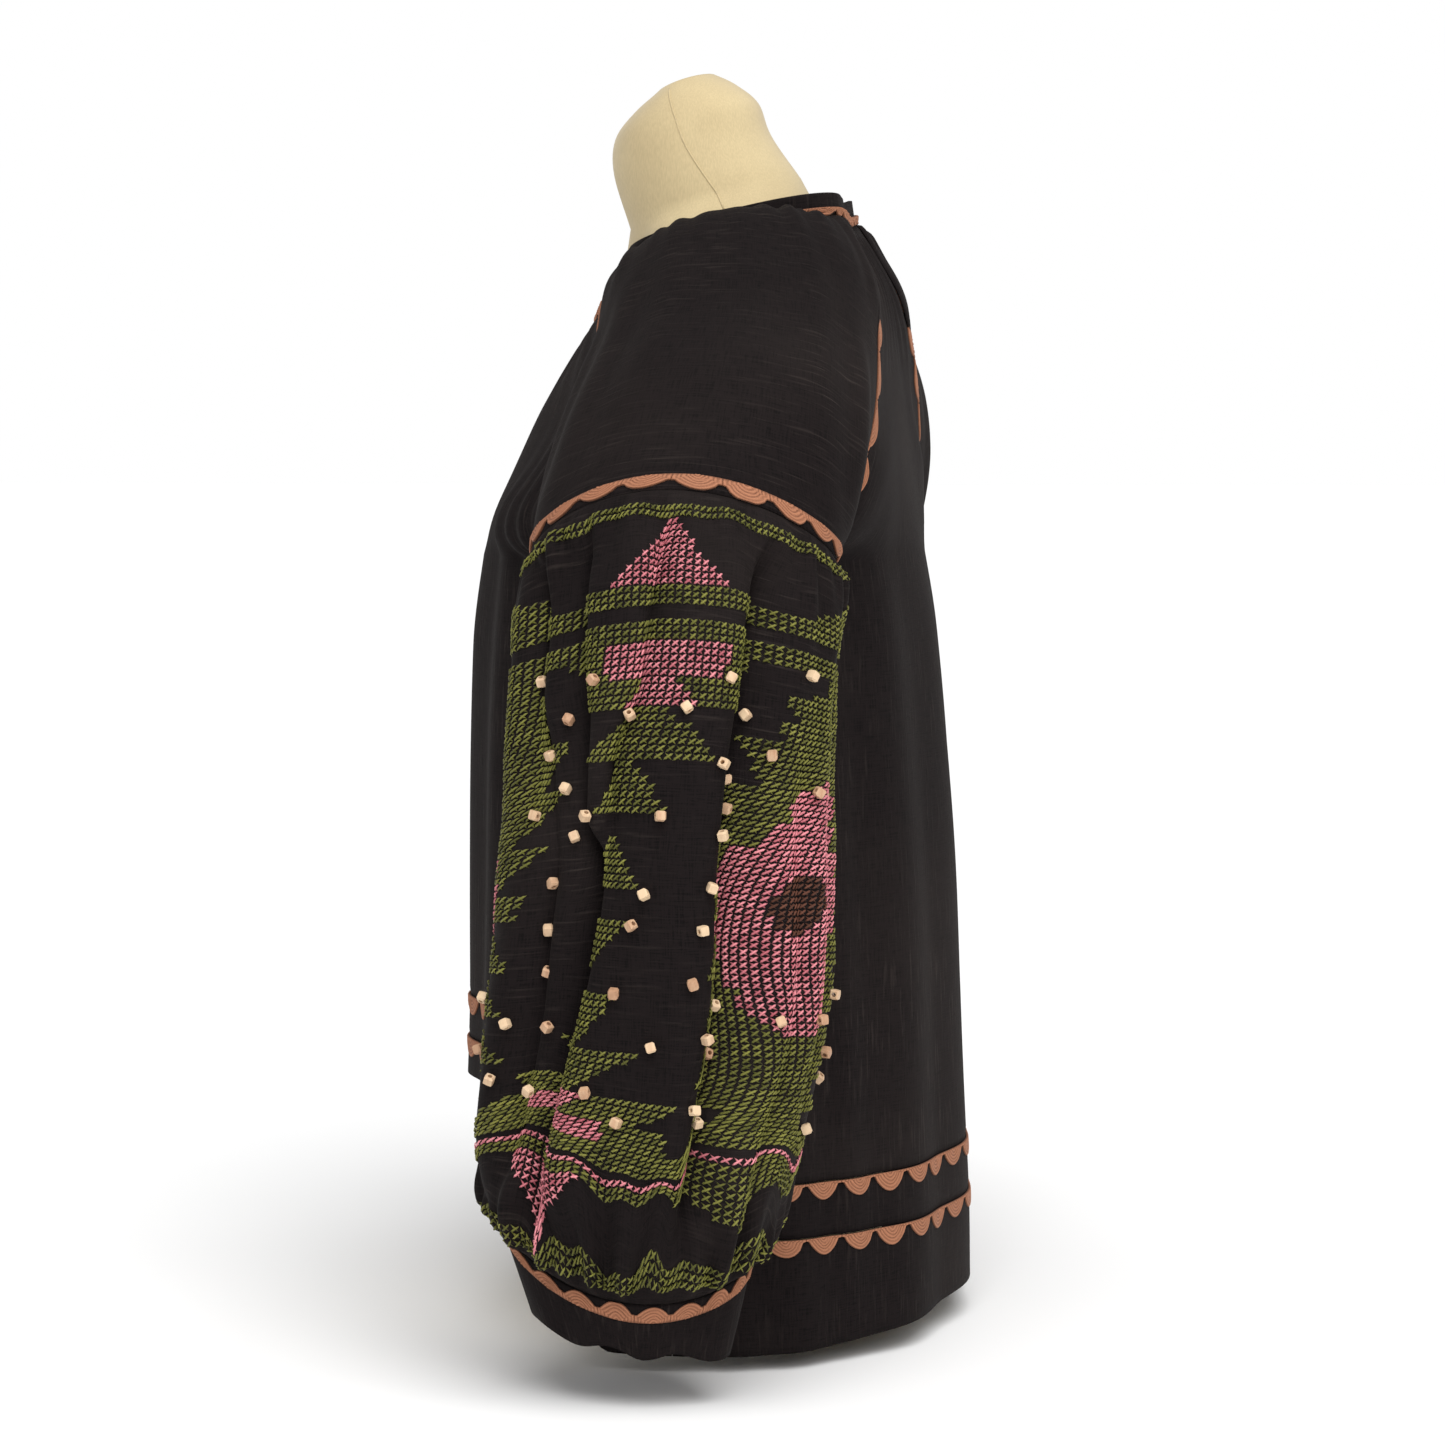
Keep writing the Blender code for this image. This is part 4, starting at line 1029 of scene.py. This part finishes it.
def beads(hand, seed, material):
    """The cube beads of one sleeve, each sewn on a little askew."""
    place = sleeve_place()
    draw = np.random.default_rng(seed + 90)
    shape, faces = bead_shape()
    parts = []
    flip = np.array((1.0 if hand == "left" else -1.0, 1.0, 1.0))
    for repeat in (FIRST_AXIS, FIRST_AXIS - 2 * HALF_REPEAT):
        for a, t in BEAD_PLACES:
            for side in (-1, 1):
                for over in (-1, 1):
                    across = repeat + side * a + draw.uniform(-0.15, 0.15)
                    down = MIDDLE + over * t + draw.uniform(-0.15, 0.15)
                    at, angle = place(np.array([across]), np.array([down]))
                    spot, normal = surface(at, angle, seed)
                    n = Vector((normal[0] * flip).tolist())
                    tilt = n.to_track_quat("Z", "X").to_matrix()
                    spin = Euler((draw.uniform(-0.5, 0.5), draw.uniform(-0.5, 0.5),
                                  draw.uniform(0, math.pi)), "XYZ").to_matrix()
                    turn = np.array(tilt @ spin)
                    verts = shape @ turn.T + spot[0] * flip + np.array(n) * (BEAD * 0.55)
                    parts.append((verts, faces, np.full(len(verts), draw.uniform(0.1, 0.75))))
    verts, sides, tone = join(parts)
    piece = make_object(f"{hand}_cube_beads", verts, sides, material, tone=tone)
    piece.data.set_sharp_from_angle(angle=math.radians(30))
    return piece


# The form

def yoke_ring(at):
    """Left sleeve, back, right sleeve and front of the yoke: grids that together go once round."""
    across = np.linspace(-1, 1, RING_FACE + 1)[None, :]
    cap = cap_points(at, np.linspace(-1, 1, RING_CAP + 1)[None, :])
    return cap, yoke_points(1, at, across)[:, ::-1], mirrored(cap), yoke_points(-1, at, across)


def form_rings():
    """Neck, shoulders just under the cloth, and a smooth body, as rings of points."""
    yoke_at = np.linspace(0, 0.5, 25)[:, None]
    pieces = yoke_ring(yoke_at)
    yoke = np.concatenate([p[:, :-1] for p in pieces], axis=1)
    facing = np.concatenate([outward(grid_normals(p), p)[:, :-1] for p in pieces], axis=1)
    for _ in range(6):
        facing = unit(facing + np.roll(facing, 1, axis=1) + np.roll(facing, -1, axis=1))
    place = np.arange(yoke.shape[1]) % (RING_CAP + RING_FACE)
    half_cap = RING_CAP / 2
    on_cap = smoothstep((half_cap - np.abs(place - half_cap)) / 8.0) * (place <= RING_CAP)
    ease = FORM_GAP + FACE_EASE + (CAP_EASE - FACE_EASE) * on_cap[None, :, None]
    blend = smoothstep(yoke_at / 0.12)[..., None]
    ease = FORM_GAP + NECK_EASE * (1 - blend) + (ease - FORM_GAP) * blend
    shoulders = yoke - ease * facing
    angle = np.arctan2(shoulders[0][:, 0], -shoulders[0][:, 1])
    rings = []
    for k in np.linspace(4, 0, 29):
        y, z, half, depth, rise = NECK.every(k)
        rings.append(stack(half * np.sin(angle), y - depth * np.cos(angle),
                           z - rise * depth * np.cos(angle)))
    neck = rings[-1]
    for share in np.linspace(0, 1, 8)[1:-1]:
        rings.append(neck + (shoulders[0] - neck) * share)
    rings.extend(shoulders)
    low = shoulders[-1]
    middle = low.mean(axis=0)
    reach = np.abs(low - middle).max(axis=0)
    angle = np.arctan2(low[:, 0] / reach[0], -(low[:, 1] - middle[1]) / reach[1])
    for z in np.concatenate((np.linspace(TORSO_TOP, FOOT_ROUND, 44), [0.004, 0.0])):
        half, front_y, back_y = TORSO.every(z)
        tuck = 0.003 * smoothstep((FOOT_ROUND - z) / FOOT_ROUND)
        middle_y, depth = (front_y + back_y) / 2, (back_y - front_y) / 2
        rings.append(stack((half - tuck) * np.sin(angle), middle_y - (depth - tuck) * np.cos(angle), z))
    return np.array(rings)


def add_form(material):
    rings = form_rings()
    count = rings.shape[1]
    verts = rings.reshape(-1, 3)
    faces = quads(len(rings), count, True).tolist()
    faces.append(list(range(count)))
    faces.append(list(range(len(verts) - 1, len(verts) - count - 1, -1)))
    a, b, c = [verts[k] for k in faces[count * 60][:3]]
    if (np.cross(b - a, c - a) * (a * np.array((1, 1, 0)))).sum() < 0:
        faces = [f[::-1] for f in faces]
    return make_object("form_body", verts, faces, material), rings


def add_form_seam(rings, material):
    """The raised seam that runs down the neck of the form's cover, on the side towards the camera."""
    rows = np.arange(3, 31)
    share = (rows - rows[0]) / (rows[-1] - rows[0])
    path = []
    for row, part in zip(rows, share):
        ring = rings[row]
        middle = ring.mean(axis=0)
        angle = np.degrees(np.arctan2(ring[:, 0] - middle[0], -(ring[:, 1] - middle[1])))
        target = 80 + 17 * part
        order = np.argsort(angle)
        path.append([np.interp(target, angle[order], ring[order, axis]) for axis in range(3)])
    verts, faces = tube(path, 0.0006)
    return make_object("form_neck_seam", verts, faces, material)


def tube(path, radius, sides=6):
    """A thin closed tube along a path of points."""
    path = np.asarray(path, float)
    along = unit(np.gradient(path, axis=0))
    helper = np.where(np.abs(along[:, 2:3]) > 0.9, (1.0, 0.0, 0.0), (0.0, 0.0, 1.0))
    u = unit(np.cross(along, helper))
    v = np.cross(along, u)
    angle = np.arange(sides) * 2 * math.pi / sides
    ring = (path[:, None] + radius * (np.cos(angle)[None, :, None] * u[:, None]
                                      + np.sin(angle)[None, :, None] * v[:, None]))
    verts = ring.reshape(-1, 3)
    faces = quads(len(path), sides, True).tolist()
    faces += [list(range(sides)), list(range(len(verts) - 1, len(verts) - sides - 1, -1))]
    return verts, faces


# Camera, light and floor

def set_camera():
    azimuth, height = math.radians(CAMERA_AZIMUTH), math.radians(CAMERA_HEIGHT)
    aim = Vector(CAMERA_AIM)
    place = aim + CAMERA_DISTANCE * Vector((math.sin(azimuth) * math.cos(height),
                                            -math.cos(azimuth) * math.cos(height),
                                            math.sin(height)))
    camera = bpy.data.cameras.new("camera")
    camera.lens = LENS
    camera.sensor_width = 36.0
    camera.sensor_fit = "HORIZONTAL"
    bpy.context.scene.camera = place_thing("camera", camera, place, aim - place)


def set_lights():
    """A soft light from above and a slightly warm one from the side, a little behind."""
    sun = bpy.data.lights.new("soft_top_light", "SUN")
    sun.energy = TOP_LIGHT
    sun.angle = math.radians(50)
    place_thing("soft_top_light", sun, toward=-Vector(TOP_FROM))
    key = bpy.data.lights.new("key", "AREA")
    key.shape = "SQUARE"
    key.size = 0.8
    key.energy = KEY_LIGHT
    key.color = (1.0, 0.97, 0.94)
    place_thing("key", key, KEY_PLACE, Vector(KEY_AIM) - Vector(KEY_PLACE))


def set_stage():
    """White light from all round, two lights and a nearly white floor."""
    world = bpy.data.worlds.new("studio")
    world.use_nodes = True
    nodes, links = world.node_tree.nodes, world.node_tree.links
    nodes["Background"].inputs["Color"].default_value = (1.0, 1.0, 1.0, 1.0)
    strength = nodes.new("ShaderNodeMath")
    strength.operation = "MULTIPLY_ADD"
    strength.inputs[1].default_value = 1.0 - WORLD_LIGHT
    strength.inputs[2].default_value = WORLD_LIGHT
    links.new(nodes.new("ShaderNodeLightPath").outputs["Is Camera Ray"], strength.inputs[0])
    links.new(strength.outputs["Value"], nodes["Background"].inputs["Strength"])
    bpy.context.scene.world = world
    bpy.context.scene.view_settings.view_transform = "Standard"
    bpy.context.scene.view_settings.look = "None"
    set_lights()
    mesh = bpy.data.meshes.new("studio_floor")
    reach = 40.0
    mesh.from_pydata([(-reach, -reach, -0.0005), (reach, -reach, -0.0005), (reach, reach, -0.0005),
                      (-reach, reach, -0.0005)], [], [(0, 1, 2, 3)])
    look = Look("studio_floor", 0.9)
    colour = look.ramp(look.noise(look.place(), 1.5), (0.3, grey(0.95)), (0.7, grey(0.98)))
    mesh.materials.append(look.finished(colour))
    place_thing("studio_floor", mesh)


# Pieces, with the solids that they replace

# Rows of each cloth of the front and back: the first, and how many cells
BANDS = {"panel": (0, YOKE_ROWS + BODY_ROWS), "middle_band": (YOKE_ROWS + BODY_ROWS, MIDDLE_ROWS),
         "hem_band": (YOKE_ROWS + BODY_ROWS + MIDDLE_ROWS, HEM_ROWS)}
# Each cloth laid flat: width and length in metres, and its area where it isn't a rectangle
CUTS = {"front_panel": ((0.66, 0.47), 0.250), "back_panel": ((0.64, 0.56), 0.290),
        "front_middle_band": ((0.56, 0.034), None), "back_middle_band": ((0.56, 0.034), None),
        "front_hem_band": ((0.58, 0.068), 0.0275), "back_hem_band": ((0.58, 0.068), None)}
RAGLAN_LAST = {"front": 7, "back": 8}    # place of the yoke at which the raglan tape ends


def place_piece(piece, slot, *nodes):
    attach(piece, "root")
    if nodes:
        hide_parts(*nodes)


def yoke_places():
    """Where the scallops of the raglan tape end, along the raglan seam."""
    even = np.linspace(0, 1, 10)
    return even - 0.03 * np.sin(2 * math.pi * even)


def lobe_ends(lobes, columns):
    """Where equal scallops begin and end on a grid with so many columns."""
    return np.arange(lobes + 1) * columns / lobes


def face_tapes(face, points, normals, tape):
    """The tapes of the front or back, listed by the cloth on which each is sewn."""
    sewn_on = {"panel": []}
    for tape_name, piece in (("hem_tape_upper", "middle_band"), ("hem_tape_lower", "hem_band")):
        first, rows = BANDS[piece]
        part = slice(first, first + rows + 1)
        made = scalloped_tape(f"{face}_{tape_name}_stitched", points[part], normals[part],
                              lobe_ends(HEM_LOBES, PANEL_COLUMNS), tape)
        place_piece(made, "tape", f"{face}_{tape_name}")
        sewn_on[piece] = [made]
    stops = yoke_places()[1:RAGLAN_LAST[face] + 1] * YOKE_ROWS
    for hand, away in (("left", slice(None, None, -1)), ("right", slice(None))):
        turned = [np.swapaxes(grid[:YOKE_ROWS + 1][:, away], 0, 1) for grid in (points, normals)]
        made = scalloped_tape(f"{hand}_{face}_raglan_tape_stitched", *turned, stops, tape, start=0.0010)
        place_piece(made, "tape", f"{hand}_{face}_raglan_tape")
        sewn_on["panel"].append(made)
    return sewn_on


def face_cloths(face, points, normals, material, sewn_on):
    """Panel, middle band and hem band of the front or back."""
    for piece, (first, rows) in BANDS.items():
        part = slice(first, first + rows + 1)
        low = 0.0 if piece == "hem_band" else SEAM / 2
        cloth = shell(f"{face}_{piece}_cloth", draw_in(points[part], normals[part], bottom=low),
                      normals[part], material)
        place_piece(cloth, "cloth", f"{face}_{piece}")
        flat, area = CUTS[f"{face}_{piece}"]
        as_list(sewn_on[piece])


def add_arm(hand, seed, cap_cloth, sleeve_cloth, cuff_cloth, tape, threads, wood):
    """Upper sleeve, lower sleeve and cuff, with their tapes, stitches and beads."""
    flip = mirrored if hand == "right" else np.asarray
    cap, cap_n = cap_grid(seed)
    sleeve, sleeve_n = sleeve_grid(seed)
    cuff, cuff_n = cuff_grid(seed)
    pleated, pleated_n = with_pleat(draw_in(cap, cap_n), cap_n)
    cap_shell = shell(f"{hand}_upper_sleeve_cloth", flip(pleated), flip(pleated_n), cap_cloth)
    sleeve_shell = shell(f"{hand}_lower_sleeve_cloth", flip(draw_in(sleeve, sleeve_n, sides=0)),
                         flip(sleeve_n), sleeve_cloth, closed=True)
    cuff_shell = shell(f"{hand}_cuff_cloth", flip(draw_in(cuff, cuff_n, bottom=0, sides=0)),
                       flip(cuff_n), cuff_cloth, closed=True)
    sleeve_tape = scalloped_tape(f"{hand}_sleeve_tape_stitched", flip(cap)[::-1], flip(cap_n)[::-1],
                                 lobe_ends(SLEEVE_LOBES, CAP_COLUMNS)[1:-1], tape, turned=True,
                                 lift=0.0008, neck=0.0040)
    cuff_tape = scalloped_tape(f"{hand}_cuff_tape_stitched", flip(cuff), flip(cuff_n),
                               lobe_ends(CUFF_LOBES, CUFF_COLUMNS), tape, closed=True, turned=True,
                               neck=0.0042)
    stitches = cross_stitch(hand, seed, threads)
    wooden = beads(hand, seed, wood)
    for piece, slot, node in ((cap_shell, "cloth", "upper_sleeve"), (sleeve_shell, "cloth", "lower_sleeve"),
                              (cuff_shell, "cloth", "cuff"), (sleeve_tape, "tape", "sleeve_tape"),
                              (cuff_tape, "tape", "cuff_tape")):
        place_piece(piece, slot, f"{hand}_{node}")
    for piece, colour in zip(stitches, threads):
        place_piece(piece, f"{colour}_thread")
    place_piece(wooden, "bead_wood")


def add_neck(cloth, tape):
    """The stand band, and the tape that covers its seam."""
    ring = np.concatenate([p[:, :-1] for p in yoke_ring(np.linspace(0, 0.04, 6)[:, None])], axis=1)
    normals = outward(grid_normals(ring, closed=True), ring)
    foot = ring[0]
    inward = unit(-foot * np.array((1.0, 1.0, 0.0)))
    raised = [foot - 0.0004 * inward + np.array((0.0, 0.0, up)) for up in (NECK_TAPE_UP, NECK_TAPE_UP / 2)]
    ring = np.concatenate((np.stack(raised), ring - 0.0004 * inward[None]))
    normals = np.concatenate((np.stack((-inward, unit(normals[0] - inward))), normals))
    neck_tape = scalloped_tape("neck_tape_stitched", ring, normals, lobe_ends(NECK_LOBES, ring.shape[1]),
                               tape, closed=True, start=0.0, wide=0.0062, lift=0.0010, neck=0.0030)
    place_piece(neck_tape, "tape", "neck_tape")
    up = np.linspace(0, 1, 9)[:, None, None]
    count = np.arange(ring.shape[1])
    wave = 0.0006 * np.sin(count * 0.41) * np.sin(count * 0.13)
    rise = np.array((0.0, 0.0, BAND_HEIGHT)) + BAND_LEAN * inward[None]
    band = (foot[None] + np.array((0.0, 0.0, SEAM)) + up * rise
            - inward[None] * (wave[None, :, None] * up))
    neck = shell("neck_band_cloth", band, np.broadcast_to(-inward[None], band.shape), cloth, closed=True,
                 thickness=BAND_THICK)
    place_piece(neck, "cloth", "neck_band")


def main():
    body_cloth = cloth_material("cloth_body", along=False)
    cap_cloth = cloth_material("cloth_upper_sleeve")
    sleeve_cloth = cloth_material("cloth_sleeve")
    tape = thread_material("tape_thread", (0.12, 0.047, 0.025), (0.43, 0.185, 0.102), 0.70, (0.35, 1.10))
    threads = {"green": thread_material("green_thread", (0.042, 0.045, 0.008), (0.262, 0.258, 0.055)),
               "pink": thread_material("pink_thread", (0.36, 0.070, 0.095), (0.92, 0.34, 0.38)),
               "brown": thread_material("brown_thread", (0.040, 0.014, 0.008), (0.160, 0.060, 0.036))}
    jersey = form_material()
    wood = wood_material()
    grids = {"front": panel_grid(-1), "back": panel_grid(1)}
    sewn_on = {face: face_tapes(face, *grid, tape) for face, grid in grids.items()}
    for face, grid in grids.items():
        face_cloths(face, *grid, body_cloth, sewn_on[face])
    for hand, seed in (("left", 21), ("right", 57)):
        add_arm(hand, seed, cap_cloth, sleeve_cloth, body_cloth, tape, threads, wood)
    add_neck(body_cloth, tape)
    form, rings = add_form(jersey)
    seam = add_form_seam(rings, jersey)
    place_piece(seam, "form_cover")
    place_piece(form, "form_cover", "dress_form")
    set_camera()
    set_stage()


main()
